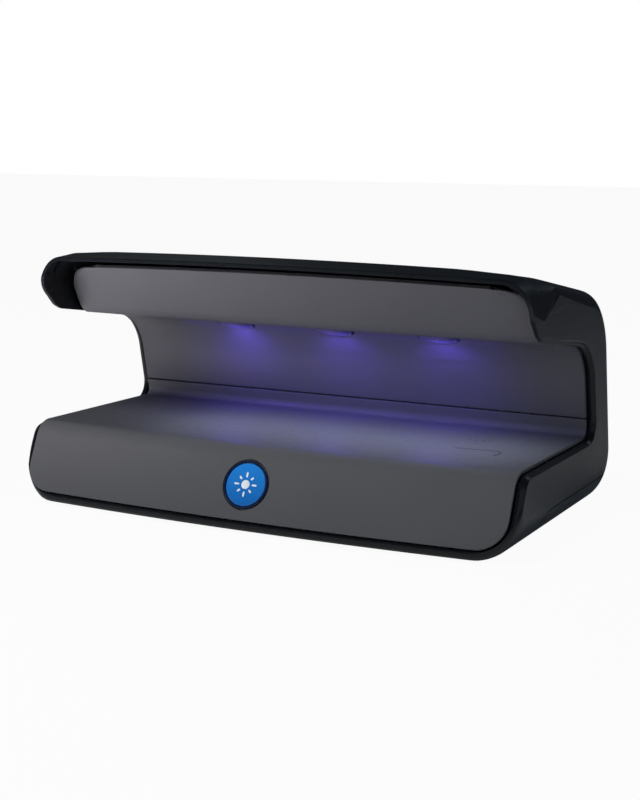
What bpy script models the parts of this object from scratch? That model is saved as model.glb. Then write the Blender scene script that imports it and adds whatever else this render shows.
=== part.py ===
"""Desktop ultraviolet banknote detector: a C-shaped housing with an open
throat.  A hood carries three UV LED windows above a nearly level platform.

Built in metres, +Z up.  X = 0 is the middle of the width, -X is left, +Y is the
rear, Z = 0 is the table the rubber feet stand on, Y = 0 is the middle of the
footprint.  All dimensions below are in millimetres.  Side profiles are (y, z)
points measured from the crease where the two liners meet.
"""
import math

import bmesh
import bpy
from mathutils import Vector

MM = 0.001

# ------------------------------------------------------------------ dimensions
CREASE_Y, CREASE_Z = 23.53, 32.2     # parting crease of the two liners
HALF_W = 88.3                        # outer half width of the housing
RIM_X = 85.9                         # inner faces of the two side cheeks
LINER_X = 85.4                       # half width of the liners
STEP_X = 86.9                        # where the flat rim step turns to chamfer
FACE_X, FACE_R = 87.2, 9.5           # outer edge of the hood's front rim face
COLLAR_X, COLLAR_R = 88.1, 11.5      # outer edge of the tapered collar behind it
FOOT_H = 1.3                         # how far the rubber feet stand proud
BOTTOM_Z = -30.9                     # housing underside, from the crease
PART_Z = -21.0                       # side parting line, from the crease
PART_FRONT = -42.5                   # front end of the parting line
PART_GAP = 0.35
BOW = 4.0                            # forward bow of the front faces in plan
CROWN = 1.6                          # upward crown of the hood's top
UPPER_T, LOWER_T = 1.6, 1.2          # thickness of the upper and lower liner
TOP_R, REAR_R, BOTTOM_R = 6.5, 14.0, 12.5           # housing, towards the sides
OPEN_TOP_R, OPEN_REAR_R, OPEN_LOW_R = 8.6, 11.0, 9.0  # cavity, towards the sides
RIM_OFF, RIM_OFF_END = 1.2, 2.0      # rim step and chamfer below the liner
HOOD_OFF = 0.4                       # rim step along the hood's underside

# side profile in (y, z) from the crease, clockwise seen from +X
FASCIA_LOW = (-75.3, -27.0)
PLATFORM_EDGE, PLATFORM_EDGE_R = (-65.5, -5.56), 7.0
PLATFORM_BACK, PLATFORM_BACK_R = (1.3, -5.8), 4.5
THROAT_TOP, THROAT_R = (-5.5, 24.2), 18.0
HOOD_LOW = (-53.0, 31.0)
NOSE_LOW, NOSE_R = (-63.3, 38.8), 8.5
RIM_TOP = (-63.3, 49.6)
COLLAR_TOP = (-54.0, 51.1)
TOP_REAR = (18.9, 38.8)
BOTTOM_REAR = (33.9, BOTTOM_Z)

# ends of the liners, in (y, z) from the crease
LIP, LIP_R = (-42.35, 29.5), 7.0
SLOPE_TOP = (-52.0, 45.6)
UPPER_CREASE = (-0.06, 0.25)
LOWER_CREASE = (0.06, -0.25)

SIDES = (("left", -1), ("right", 1))

# ---------------------------------------------------------- scene and materials
for old in list(bpy.data.objects):
    bpy.data.objects.remove(old, do_unlink=True)

parts = bpy.data.collections.new("uv_banknote_detector")
cutters = bpy.data.collections.new("cutters")
for collection in (parts, cutters):
    bpy.context.scene.collection.children.link(collection)

SHELL_BLACK = dict(colour=(0.016, 0.019, 0.022), roughness=0.38)
LINER_GREY = dict(colour=(0.115, 0.115, 0.122), roughness=0.45, metallic=0.35)
RUBBER = dict(colour=(0.02, 0.02, 0.02), roughness=0.85)
STEEL = dict(colour=(0.55, 0.55, 0.56), roughness=0.32, metallic=1.0)
ALUMINIUM = dict(colour=(0.62, 0.63, 0.64), roughness=0.4, metallic=1.0)
BOARD_GREEN = dict(colour=(0.02, 0.11, 0.05), roughness=0.5)
UV_LENS = dict(colour=(0.34, 0.30, 0.62), roughness=0.12, glow=(0.2, 0.12, 1.0))
UV_LED = dict(colour=(0.75, 0.72, 0.85), roughness=0.2, glow=(0.25, 0.15, 1.0))
BADGE_NAVY = dict(colour=(0.01, 0.02, 0.09), roughness=0.3)
BADGE_BLUE = dict(colour=(0.02, 0.27, 0.80), roughness=0.3)
INDUCTOR_BLACK = dict(colour=(0.05, 0.05, 0.055), roughness=0.5)
CAPACITOR_BLUE = dict(colour=(0.10, 0.11, 0.22), roughness=0.35)
CHIP_BLACK = dict(colour=(0.02, 0.02, 0.022), roughness=0.45)
FRAME_BLACK = dict(colour=(0.02, 0.02, 0.021), roughness=0.4)
ROCKER_BLACK = dict(colour=(0.018, 0.018, 0.02), roughness=0.3)
WIRE_RED = dict(colour=(0.45, 0.02, 0.02), roughness=0.5)
WIRE_BLACK = dict(colour=(0.02, 0.02, 0.02), roughness=0.5)


def material(name, colour, roughness, metallic=0.0, glow=None):
    mat = bpy.data.materials.new(name)
    mat.use_nodes = True
    inputs = mat.node_tree.nodes["Principled BSDF"].inputs
    inputs["Base Color"].default_value = (*colour, 1.0)
    inputs["Roughness"].default_value = roughness
    inputs["Metallic"].default_value = metallic
    if glow:
        inputs["Emission Color"].default_value = (*glow, 1.0)
        inputs["Emission Strength"].default_value = 1.0
    return mat


# -------------------------------------------------------------- plane geometry
def unit(v):
    length = math.hypot(*v)
    return (v[0] / length, v[1] / length)


def direction(start, end):
    return unit((end[0] - start[0], end[1] - start[1]))


def cross(a, b):
    return a[0] * b[1] - a[1] * b[0]


def lerp(a, b, t):
    return (a[0] + (b[0] - a[0]) * t, a[1] + (b[1] - a[1]) * t)


def at_height(a, b, z):
    """Point with height z on the line through a and b."""
    return lerp(a, b, (z - a[1]) / (b[1] - a[1]))


def ramp(value, low, high):
    """0 up to low, 1 from high on, linear between."""
    return max(0.0, min(1.0, (value - low) / (high - low)))


def smooth(value, low, high):
    t = ramp(value, low, high)
    return t * t * (3 - 2 * t)


def quarter_drop(t):
    """Drop of a unit quarter circle, from 0 at t = 0 to 1 at t = 1."""
    return 1.0 - math.sqrt(1.0 - t * t)


def rounding(value, radius, end):
    """Inset of a surface that rolls over with this radius before end."""
    return radius * quarter_drop(ramp(value, end - radius, end))


def arc_steps(end, radius, degrees):
    """Positions along a rounding that finishes at end."""
    return [end - radius + radius * math.sin(math.radians(a)) for a in degrees]


def inset_polygon(points, insets):
    """Clockwise polygon with edge i (point i to i+1) moved inwards by insets[i]."""
    lines = []
    for i, (start, inset) in enumerate(zip(points, insets)):
        along = direction(start, points[(i + 1) % len(points)])
        lines.append(((start[0] + along[1] * inset, start[1] - along[0] * inset), along))
    corners = []
    for i, (after, after_dir) in enumerate(lines):
        before, before_dir = lines[i - 1]
        gap = (after[0] - before[0], after[1] - before[1])
        t = cross(gap, after_dir) / cross(before_dir, after_dir)
        corners.append((before[0] + before_dir[0] * t, before[1] + before_dir[1] * t))
    return corners


def fillet(before, corner, after, radius, segments):
    """Arc points at a corner; the radius shrinks where the edges are too short."""
    u, v = direction(corner, before), direction(corner, after)
    half = math.acos(max(-0.9999, min(0.9999, u[0] * v[0] + u[1] * v[1]))) / 2
    room = 0.49 * min(math.dist(before, corner), math.dist(after, corner))
    run = min(radius / math.tan(half), room)
    radius = run * math.tan(half)
    bisector = unit((u[0] + v[0], u[1] + v[1]))
    reach = radius / math.sin(half)
    cy, cz = corner[0] + bisector[0] * reach, corner[1] + bisector[1] * reach
    start = math.atan2(corner[1] + u[1] * run - cz, corner[0] + u[0] * run - cy)
    end = math.atan2(corner[1] + v[1] * run - cz, corner[0] + v[0] * run - cy)
    turn = (end - start + math.pi) % (2 * math.pi) - math.pi
    angles = [start + turn * k / segments for k in range(segments + 1)]
    return [(cy + radius * math.cos(a), cz + radius * math.sin(a)) for a in angles]


def rounded(points, radii, segments):
    """Fillet each corner; a corner with no segments stays a point."""
    out = []
    for i, point in enumerate(points):
        if segments[i] == 0:
            out.append(point)
        else:
            after = points[(i + 1) % len(points)]
            out += fillet(points[i - 1], point, after, radii[i], segments[i])
    return out


def densify(points, longest):
    """Split long runs so that the bow and the end curves stay smooth."""
    out = [points[0]]
    for a, b in zip(points, points[1:]):
        n = max(1, math.ceil(math.dist(a, b) / longest))
        out += [lerp(a, b, k / n) for k in range(1, n + 1)]
    return out


def mirrored_stations(*positions):
    """Sorted X stations on both sides of 0."""
    half = sorted({round(v, 4) for v in positions})
    return [-v for v in reversed(half) if v > 0] + half


# ------------------------------------------------------------------- placement
def from_crease(x, y, z):
    """Crease frame to part frame, both in millimetres."""
    return (x, y + CREASE_Y, z + CREASE_Z)


def place_straight(x, y, z):
    return Vector([v * MM for v in from_crease(x, y, z)])


def place_bowed(x, y, z):
    """Bow the front faces forward and crown the hood's top."""
    middle = 1.0 - min(1.0, (x / HALF_W) ** 2)
    y -= BOW * middle * smooth(-y, 18.0, 56.0)
    z += CROWN * middle * smooth(z, 30.0, 46.0)
    return place_straight(x, y, z)


# ------------------------------------------------------------- object builders
def new_object(name, data, mat=None):
    """Link a part, or a hidden cutter if it has no material."""
    ob = bpy.data.objects.new(name, data)
    if mat:
        data.materials.append(mat)
        parts.objects.link(ob)
    else:
        cutters.objects.link(ob)
        ob.hide_render = True
        ob.display_type = 'WIRE'
    return ob


def mesh_object(name, bm, mat=None, sharp=None):
    """Object from a bmesh; smooth below the sharp angle in degrees, else flat."""
    mesh = bpy.data.meshes.new(name)
    bm.to_mesh(mesh)
    bm.free()
    if sharp:
        mesh.shade_smooth()
        mesh.set_sharp_from_angle(angle=math.radians(sharp))
    return new_object(name, mesh, mat)


def loft(stations, section, place=place_bowed):
    """Closed body through one section polygon per station."""
    bm = bmesh.new()
    rings = [[bm.verts.new(place(x, *p)) for p in section(x)] for x in stations]
    n = len(rings[0])
    for a, b in zip(rings, rings[1:]):
        for i in range(n):
            bm.faces.new((a[i], a[(i + 1) % n], b[(i + 1) % n], b[i]))
    bm.faces.new(rings[0])
    bm.faces.new(list(reversed(rings[-1])))
    bmesh.ops.recalc_face_normals(bm, faces=bm.faces)
    return bm


def grid_shell(name, rows, mat, thickness):
    """Open surface through rows of points, thickened with Solidify."""
    bm = bmesh.new()
    grid = [[bm.verts.new(place_bowed(*point)) for point in row] for row in rows]
    for a, b in zip(grid, grid[1:]):
        for i in range(len(a) - 1):
            bm.faces.new((a[i], b[i], b[i + 1], a[i + 1]))
    ob = mesh_object(name, bm, mat, sharp=40)
    wall = ob.modifiers.new("wall", 'SOLIDIFY')
    wall.thickness = thickness * MM
    wall.offset = -1.0
    wall.use_even_offset = True
    return ob


def boolean(ob, cutter, operation='DIFFERENCE'):
    modifier = ob.modifiers.new(cutter.name, 'BOOLEAN')
    modifier.operation = operation
    modifier.solver = 'EXACT'
    modifier.object = cutter


def box(name, size, centre, mat=None, rot=(0.0, 0.0, 0.0)):
    bm = bmesh.new()
    bmesh.ops.create_cube(bm, size=1.0)
    bmesh.ops.scale(bm, vec=Vector(size) * MM, verts=bm.verts)
    ob = mesh_object(name, bm, mat)
    ob.location = Vector(centre) * MM
    ob.rotation_euler = rot
    return ob


def turned(name, profile, centre, steps, mat=None, rot=(0.0, 0.0, 0.0)):
    """Profile [(radius, height)...] turned about the local Z axis."""
    mesh = bpy.data.meshes.new(name)
    points = [(r * MM, 0.0, h * MM) for r, h in profile]
    mesh.from_pydata(points, [(i, i + 1) for i in range(len(points) - 1)], [])
    ob = new_object(name, mesh, mat)
    screw = ob.modifiers.new("turn", 'SCREW')
    screw.steps = screw.render_steps = steps
    screw.use_merge_vertices = True
    screw.merge_threshold = 1e-6
    screw.use_smooth_shade = False
    ob.location = Vector(centre) * MM
    ob.rotation_euler = rot
    return ob


def cylinder(radius, top, bottom):
    """Profile of a plain cylinder."""
    return [(0, top), (radius, top), (radius, bottom), (0, bottom)]


def raised(profile, height):
    return [(r, height + h) for r, h in profile]


# --------------------------------------------------------------- housing shape
OUTER = [
    at_height(PLATFORM_EDGE, FASCIA_LOW, BOTTOM_Z), PLATFORM_EDGE, PLATFORM_BACK,
    THROAT_TOP, HOOD_LOW, NOSE_LOW, RIM_TOP, COLLAR_TOP, TOP_REAR, BOTTOM_REAR,
]
NOSE_SEGMENTS = 4
NOSE_POINTS = NOSE_SEGMENTS + 1
NOSE_ARC = fillet(HOOD_LOW, NOSE_LOW, RIM_TOP, NOSE_R, NOSE_SEGMENTS)

# corners of the finished section: (radius, segments, 1 convex or -1 concave)
OUTER_CORNERS = [
    (2.0, 3, 1),                     # fascia foot
    (PLATFORM_EDGE_R, 5, 1),
    (PLATFORM_BACK_R, 4, -1),
    (THROAT_R, 7, -1),
    (15.0, 3, 1),                    # hood low
    *[(0.0, 0, 1)] * NOSE_POINTS,
    (0.4, 1, 1),                     # rim face top
    (0.8, 1, 1),                     # collar top
    (6.0, 2, 1),                     # flare behind the collar
    (29.0, 9, 1),                    # top rear
    (18.0, 7, 1),                    # bottom rear
]
FIRST_FLARED = 5 + NOSE_POINTS       # rim face top, collar top and flare
FLARED = range(FIRST_FLARED, FIRST_FLARED + 3)
FLARE, FLARE_END, FLARE_R = (-41.0, 48.9), (-43.5, 44.9), 5.0


def nose_targets(hood_low, arc_start, arc_end, rim_top, collar_top):
    """Places of the nose points: hood low, the arc spread on a line, two tops."""
    arc = [lerp(arc_start, arc_end, i / NOSE_SEGMENTS) for i in range(NOSE_POINTS)]
    return [hood_low] + arc + [rim_top, collar_top]


# the nose narrows back to the collar's end and on to the flat side
NOSE_AT_COLLAR = nose_targets((-46.5, 31.2), (-50.6, 35.0), (-53.9, 37.4),
                              (-54.05, 37.75), (-54.0, 38.1))
NOSE_AT_SIDE = nose_targets((-31.0, 30.0), (-31.4, 33.5), (-32.6, 38.0),
                            (-36.0, 41.5), (-39.5, 43.8))


def nose_arc(height):
    """The nose's arc, cut off where the rim face's upper edge drops into it."""
    cy, cz = NOSE_ARC[-1][0] + NOSE_R, NOSE_ARC[-1][1]
    start = math.atan2(NOSE_ARC[0][1] - cz, NOSE_ARC[0][0] - cy)
    end = -math.pi + math.asin(max(0.0, cz - height) / NOSE_R)
    angles = [start + (end - start) * i / NOSE_SEGMENTS for i in range(NOSE_POINTS)]
    return [(cy + NOSE_R * math.cos(a), cz + NOSE_R * math.sin(a)) for a in angles]


def front_points(ax, hood_low):
    """Hood low, nose, rim face top and collar top, before they narrow."""
    back = 1.6 * smooth(ax, 72.0, 86.5)      # the rim face draws back at the sides
    height = RIM_TOP[1] - rounding(ax, FACE_R, FACE_X)
    nose = nose_arc(height)
    face = (nose[-1][0], max(height, nose[-1][1]) + 0.06)
    collar_drop = 0.6 * smooth(ax, 60.0, 80.0) + rounding(ax, COLLAR_R, COLLAR_X)
    drawn_back = [(y + back, z) for y, z in nose + [face]]
    return [hood_low] + drawn_back + [(COLLAR_TOP[0], COLLAR_TOP[1] - collar_drop)]


def outer_section(x):
    ax = abs(x)
    chamfer = ramp(ax, STEP_X, HALF_W)
    throat = RIM_OFF + (RIM_OFF_END - RIM_OFF) * chamfer
    under = HOOD_OFF + (RIM_OFF_END - HOOD_OFF) * chamfer
    top = rounding(ax, TOP_R, HALF_W)
    rear = rounding(ax, REAR_R, HALF_W)
    low = rounding(ax, BOTTOM_R, HALF_W)
    points = inset_polygon(OUTER, [throat] * 3 + [under] + [0.0] * 3 + [top, rear, low])

    to_collar = ramp(ax, FACE_X, COLLAR_X)
    to_side = ramp(ax, COLLAR_X, HALF_W)
    front = [lerp(lerp(p, collar, to_collar), side, to_side) for p, collar, side
             in zip(front_points(ax, points[4]), NOSE_AT_COLLAR, NOSE_AT_SIDE)]
    flare_drop = max(top, 0.38 * rounding(ax, COLLAR_R, COLLAR_X))
    flare = lerp((FLARE[0], FLARE[1] - flare_drop), FLARE_END, to_side)
    points = points[:4] + front + [flare] + points[8:]

    # insets of the finished section's edges, which change the corner radii
    insets = ([throat] * 3 + [under] + [0.0] * (NOSE_POINTS + 2)
              + [top, top, rear, low])
    radii = []
    for i, (radius, _, convex) in enumerate(OUTER_CORNERS):
        if i in FLARED:
            radius += (FLARE_R - radius) * to_side
        elif i == 0:
            radius += 1.6 * smooth(ax, 74.0, HALF_W)
        else:
            radius -= convex * (insets[i - 1] + insets[i]) / 2
        radii.append(max(0.4, radius))
    return rounded(points, radii, [segments for _, segments, _ in OUTER_CORNERS])


HOUSING_MIDDLE = (0.0, 24.0, 46.0, 64.0)   # stations before the side roundings
OUTER_X = mirrored_stations(
    *HOUSING_MIDDLE, *arc_steps(HALF_W, REAR_R, (8, 24, 38, 50, 61)),
    80.2, 84.4, RIM_X, STEP_X, FACE_X, 87.6, COLLAR_X, HALF_W)

# inner cavity, open through the front, clockwise: (y, z, radius, segments)
CAVITY = [
    (-110.0, -27.6, 0.4, 1), (-110.0, 48.3, 0.4, 1), (-58.5, 48.3, 0.3, 1),
    (-56.5, 49.2, 0.5, 1), (16.2, 36.2, 26.0, 7), (31.3, -28.2, 15.4, 6),
]
CAVITY_X = mirrored_stations(
    *HOUSING_MIDDLE, *arc_steps(RIM_X, OPEN_REAR_R, (4, 20, 34, 47, 59, 70, 80)),
    RIM_X)


def cavity_section(x):
    ax = abs(x)
    top = rounding(ax, OPEN_TOP_R, RIM_X)
    rear = rounding(ax, OPEN_REAR_R, RIM_X)
    low = rounding(ax, OPEN_LOW_R, RIM_X)
    insets = [0.0, top, top, top, rear, low]
    points = inset_polygon([corner[:2] for corner in CAVITY], insets)
    radii = [max(0.4, corner[2] - (insets[i - 1] + insets[i]) / 2)
             for i, corner in enumerate(CAVITY)]
    return rounded(points, radii, [corner[3] for corner in CAVITY])


def parting_cutter(name, gap):
    """Prism below the parting line; its front end curves down to the floor."""
    top, bottom = PART_Z + gap, BOTTOM_Z - 6
    front, rear = PART_FRONT - gap, 70.0
    outline = rounded(
        [(front, top), (front - 6.5, -24.5 + gap), (front - 9.5, bottom),
         (rear, bottom), (rear, top)],
        radii=[8.0, 6.0, 0.4, 0.4, 0.4], segments=[4, 4, 1, 1, 1])
    return mesh_object(name, loft([-120.0, 120.0], lambda x: outline, place_straight))


def build_housing():
    shell = mesh_object("upper_shell", loft(OUTER_X, outer_section),
                        material("shell_plastic", **SHELL_BLACK), sharp=32)
    base = mesh_object("base_plate", loft(OUTER_X, outer_section),
                       material("base_plastic", **SHELL_BLACK), sharp=32)
    cavity = mesh_object("cut_cavity", loft(CAVITY_X, cavity_section), sharp=32)
    boolean(shell, cavity)
    boolean(shell, parting_cutter("cut_parting_upper", PART_GAP / 2))
    boolean(base, parting_cutter("cut_parting_lower", -PART_GAP / 2), 'INTERSECT')
    boolean(base, cavity)
    return shell, base


# ---------------------------------------------------------------------- liners
HOOD_TURN = 8.0                      # width over which the hood liner turns back
HOOD_CORNER_Z = 38.2                 # where the hood liner's top corners start
HOOD_CORNER_W = 7.6                  # how far those corners come in
HOOD_SET_DROP = 0.153                # drop per millimetre of turning back
FASCIA_CORNER_R = 9.5                # lower corners of the fascia
FASCIA_DIR = direction(PLATFORM_EDGE, FASCIA_LOW)


def liner_columns(*positions):
    """Columns as fractions of the liner's half width."""
    return [v / LINER_X for v in mirrored_stations(*positions, LINER_X)]


def hood_row(y, z, columns):
    """Row of the upper liner, following the rounded corners of the hood's
    opening, with its ends turned back."""
    corner = quarter_drop(ramp(z, HOOD_CORNER_Z, SLOPE_TOP[1]))
    half = LINER_X - HOOD_CORNER_W * corner
    depth = (2.6 + 1.6 * smooth(z, 36.0, 42.0)) * smooth(-y, 22.0, 38.0)
    row = []
    for u in columns:
        turn = ramp(abs(u * LINER_X), LINER_X - HOOD_TURN, LINER_X)
        back = depth * quarter_drop(turn)
        row.append((u * half, y + back, z - HOOD_SET_DROP * back))
    return row


def build_upper_liner():
    points = rounded([SLOPE_TOP, LIP, THROAT_TOP, UPPER_CREASE],
                     radii=[0, LIP_R, THROAT_R, 0], segments=[0, 6, 9, 0])
    corner_heights = arc_steps(SLOPE_TOP[1], SLOPE_TOP[1] - HOOD_CORNER_Z,
                               (66, 44, 22, 0))
    points[1:1] = [at_height(SLOPE_TOP, LIP, z) for z in corner_heights]
    columns = liner_columns(0.0, 27.0, 54.0,
                            *arc_steps(LINER_X, HOOD_TURN, (5, 22, 38, 52, 66, 79)))
    rows = [hood_row(y, z, columns) for y, z in densify(points, 8.0)]
    mat = material("upper_liner_plastic", **LINER_GREY)
    return grid_shell("upper_liner", rows, mat, UPPER_T)


def build_lower_liner():
    points = rounded([LOWER_CREASE, PLATFORM_BACK, PLATFORM_EDGE, FASCIA_LOW],
                     radii=[0, PLATFORM_BACK_R, PLATFORM_EDGE_R, 0],
                     segments=[0, 4, 5, 0])
    # (point, half width), down to where the rounded corners take over
    edges = [(p, LINER_X) for p in densify(points, 12.0)
             if p[1] >= -7 or math.dist(FASCIA_LOW, p) >= FASCIA_CORNER_R + 0.5]
    for degrees in (0, 18, 34, 50, 66, 80, 90):
        a = math.radians(degrees)
        up = FASCIA_CORNER_R * (1 - math.sin(a))
        point = (FASCIA_LOW[0] - FASCIA_DIR[0] * up, FASCIA_LOW[1] - FASCIA_DIR[1] * up)
        edges.append((point, LINER_X - FASCIA_CORNER_R * (1 - math.cos(a))))
    columns = liner_columns(0.0, 20.0, 40.0, 60.0, 76.0, 82.0)
    rows = [[(u * half, y, z) for u in columns] for (y, z), half in edges]
    mat = material("lower_liner_plastic", **LINER_GREY)
    return grid_shell("lower_liner", rows, mat, LOWER_T)


# ------------------------------------------------------- ultraviolet LED group
LED_PITCH = 38.6
LED_TILT = math.radians(21.0)              # the light points down and forward
LED_ROT = (-LED_TILT, 0.0, 0.0)            # local +Z points away from the throat
LED_AWAY = (math.sin(LED_TILT), math.cos(LED_TILT))
LED_ARC = (-22.6, 8.4)                     # the window lies THROAT_R from here
WINDOW = (LED_ARC[0] + THROAT_R * LED_AWAY[0], LED_ARC[1] + THROAT_R * LED_AWAY[1])
LENS_R, LENS_GAP = 7.2, 0.4
LED_STRIP = (104.0, 13.0)                  # length and width of board and spreader

# (radius, height) above the window plane
LENS_PROFILE = [(0, 2.9), (LENS_R, 2.9), (LENS_R, 0.5), (LENS_R - 0.5, 0.0),
                (LENS_R * 0.55, -0.5), (0, -0.7)]
LED_PROFILE = [(0, 5.55), (3.2, 5.55), (3.2, 4.2), (2.0, 4.2), (1.5, 3.5), (0, 3.3)]
LED_SCREW_PROFILE = [(0, 9.4), (1.35, 9.4), (1.35, 5.5), (2.6, 5.5), (2.6, 4.4),
                     (2.0, 3.9), (0, 3.9)]


def led_at(x, back=0.0, along=0.0):
    """Point behind the window plane by back, and rearwards along it by along."""
    y = WINDOW[0] + LED_AWAY[0] * back + LED_AWAY[1] * along
    z = WINDOW[1] + LED_AWAY[1] * back - LED_AWAY[0] * along
    return from_crease(x, y, z)


def build_led_windows(upper):
    for tag, x in (("left", -LED_PITCH), ("centre", 0.0), ("right", LED_PITCH)):
        boolean(upper, turned("cut_window_" + tag, cylinder(LENS_R + LENS_GAP, 9, -6),
                              led_at(x), 28, rot=LED_ROT))
        turned("uv_lens_" + tag, LENS_PROFILE, led_at(x), 28,
               material("uv_lens_" + tag, **UV_LENS), LED_ROT)
        turned("uv_led_" + tag, LED_PROFILE, led_at(x), 16,
               material("uv_led_" + tag, **UV_LED), LED_ROT)


def build_led_board():
    board = box("led_board", (*LED_STRIP, 1.4), led_at(0, 6.55),
                material("led_board", **BOARD_GREEN), LED_ROT)
    spreader = box("led_heat_spreader", (*LED_STRIP, 2.4), led_at(0, 8.75),
                   material("aluminium", **ALUMINIUM), LED_ROT)
    for side, sign in SIDES:
        centre = led_at(sign * LED_PITCH / 2)
        for ob, tag in ((board, "board"), (spreader, "spreader")):
            boolean(ob, turned(f"cut_{tag}_screw_{side}", cylinder(1.8, 13, 3),
                               centre, 14, rot=LED_ROT))
        name = "led_board_screw_" + side
        turned(name, LED_SCREW_PROFILE, centre, 14, material(name, **STEEL), LED_ROT)


# ------------------------------------------------------------- badge on fascia
BADGE_R = 7.6
BADGE_DOWN = 12.2                          # from the platform edge, down the fascia
BADGE_CENTRE = from_crease(0.0, PLATFORM_EDGE[0] + FASCIA_DIR[0] * BADGE_DOWN - BOW,
                           PLATFORM_EDGE[1] + FASCIA_DIR[1] * BADGE_DOWN)
FASCIA_LEAN = math.atan2(-FASCIA_DIR[0], -FASCIA_DIR[1])   # from vertical
BADGE_ROT = (math.pi / 2 - FASCIA_LEAN, 0.0, 0.0)  # local +Z out of the fascia
BADGE_RING_PROFILE = [(BADGE_R, 0.2), (BADGE_R, -0.5), (BADGE_R - 0.45, -0.5),
                      (BADGE_R - 0.45, 0.3), (BADGE_R - 0.1, 0.3), (BADGE_R, 0.2)]


def build_badge(lower):
    boolean(lower, turned("cut_badge_pocket", cylinder(BADGE_R + 0.45, 5, -0.85),
                          BADGE_CENTRE, 36, rot=BADGE_ROT))
    turned("badge_ring", BADGE_RING_PROFILE, BADGE_CENTRE, 36,
           material("badge_rim_navy", **BADGE_NAVY), BADGE_ROT)
    turned("badge_disc", cylinder(BADGE_R - 0.75, 0.1, -0.5), BADGE_CENTRE, 36,
           material("badge_blue", **BADGE_BLUE), BADGE_ROT)


# -------------------------------------------------------- feet and base screws
CORNER_X = 66.0                            # feet and base screws from the middle
FOOT_FRONT_Y, FOOT_REAR_Y = -38.0, 27.5
SCREW_FRONT_Y, SCREW_REAR_Y = -10.0, 14.0

# (radius, height); feet from the table, screws from the housing's underside
FOOT_PROFILE = [(0, FOOT_H + 0.3), (5.5, FOOT_H + 0.3), (5.5, 0.5), (5.0, 0.0),
                (0, 0.0)]
BASE_HOLE_PROFILE = [(0, 9), (1.9, 9), (1.9, 1.6), (3.4, 1.6), (3.4, -3), (0, -3)]
BASE_SCREW_PROFILE = [(0, 9.0), (1.5, 9.0), (1.5, 1.25), (3.0, 1.25), (3.0, 0.6),
                      (2.6, 0.3), (0, 0.3)]


def corners(front_y, rear_y):
    """Tag, x and y of the four corner places."""
    return [(f"{end}_{side}", sign * CORNER_X, y) for side, sign in SIDES
            for end, y in (("front", front_y), ("rear", rear_y))]


def build_feet(shell, base):
    """The front feet sit on the shell, the rear ones on the base plate."""
    for tag, x, y in corners(FOOT_FRONT_Y, FOOT_REAR_Y):
        seat = turned("cut_foot_" + tag, cylinder(5.9, 0.6, -3), (x, y, FOOT_H), 28)
        boolean(shell if y == FOOT_FRONT_Y else base, seat)
        turned("foot_" + tag, FOOT_PROFILE, (x, y, 0), 28,
               material("foot_" + tag, **RUBBER))


def build_base_screws(base):
    for tag, x, y in corners(SCREW_FRONT_Y, SCREW_REAR_Y):
        boolean(base, turned("cut_base_screw_" + tag, BASE_HOLE_PROFILE,
                             (x, y, FOOT_H), 16))
        turned("base_screw_" + tag, raised(BASE_SCREW_PROFILE, FOOT_H), (x, y, 0), 16,
               material("base_screw_" + tag, **STEEL))


# --------------------------------------- control board above the base's floor
BOARD_Y, BOARD_Z = 22.0, FOOT_H + 8.0
STANDOFF_X = 37.0

# (radius, height) above the middle of the board
BOARD_SCREW_PROFILE = [(0, 2.6), (2.2, 2.6), (2.7, 2.0), (2.7, 1.15), (1.3, 1.15),
                       (1.3, -0.8), (0, -0.8)]
INDUCTOR_PROFILE = [(0, 7.2), (4.4, 7.2), (5.0, 6.6), (5.0, 1.6), (4.4, 1.15),
                    (0, 1.15)]
CAPACITOR_PROFILE = [(0, 9.2), (2.8, 9.2), (3.1, 8.9), (3.1, 1.15), (0, 1.15)]


def build_control_board():
    board = box("control_board", (86.0, 40.0, 1.6), (0.0, BOARD_Y, BOARD_Z),
                material("control_board", **BOARD_GREEN))
    for side, sign in SIDES:
        x = sign * STANDOFF_X
        turned("board_standoff_" + side, cylinder(2.6, BOARD_Z - 1.15, FOOT_H + 3.0),
               (x, BOARD_Y, 0), 14, material("board_standoff_" + side, **STEEL))
        # the LED board's cutters have this name too, so Blender adds a number
        boolean(board, turned("cut_board_screw_" + side, cylinder(1.7, 4, -4),
                              (x, BOARD_Y, BOARD_Z), 14))
        turned("board_screw_" + side, raised(BOARD_SCREW_PROFILE, BOARD_Z),
               (x, BOARD_Y, 0), 14, material("board_screw_" + side, **STEEL))


def build_board_components():
    turned("driver_inductor", raised(INDUCTOR_PROFILE, BOARD_Z),
           (-20.0, BOARD_Y + 4.0, 0), 24, material("driver_inductor", **INDUCTOR_BLACK))
    turned("driver_capacitor", raised(CAPACITOR_PROFILE, BOARD_Z),
           (-6.0, BOARD_Y + 6.0, 0), 24, material("driver_capacitor", **CAPACITOR_BLUE))
    box("driver_chip", (9.0, 7.0, 1.4), (12.0, BOARD_Y, BOARD_Z + 1.85),
        material("driver_chip", **CHIP_BLACK))


# -------------------------------------------- power inlet and switch, rear wall
REAR_UP = direction(BOTTOM_REAR, TOP_REAR)         # up along the leaning wall
REAR_LEAN = math.atan2(-REAR_UP[0], REAR_UP[1])
REAR_ROT = (REAR_LEAN - math.pi / 2, 0.0, 0.0)     # local +Z out, local -Y up
JACK_X, SWITCH_X = 52.0, 26.0
PORT_UP = -7.0                                     # along the wall from the crease's height
PORT_RUN = PORT_UP - BOTTOM_REAR[1] / REAR_UP[1]   # along it from the bottom

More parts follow.
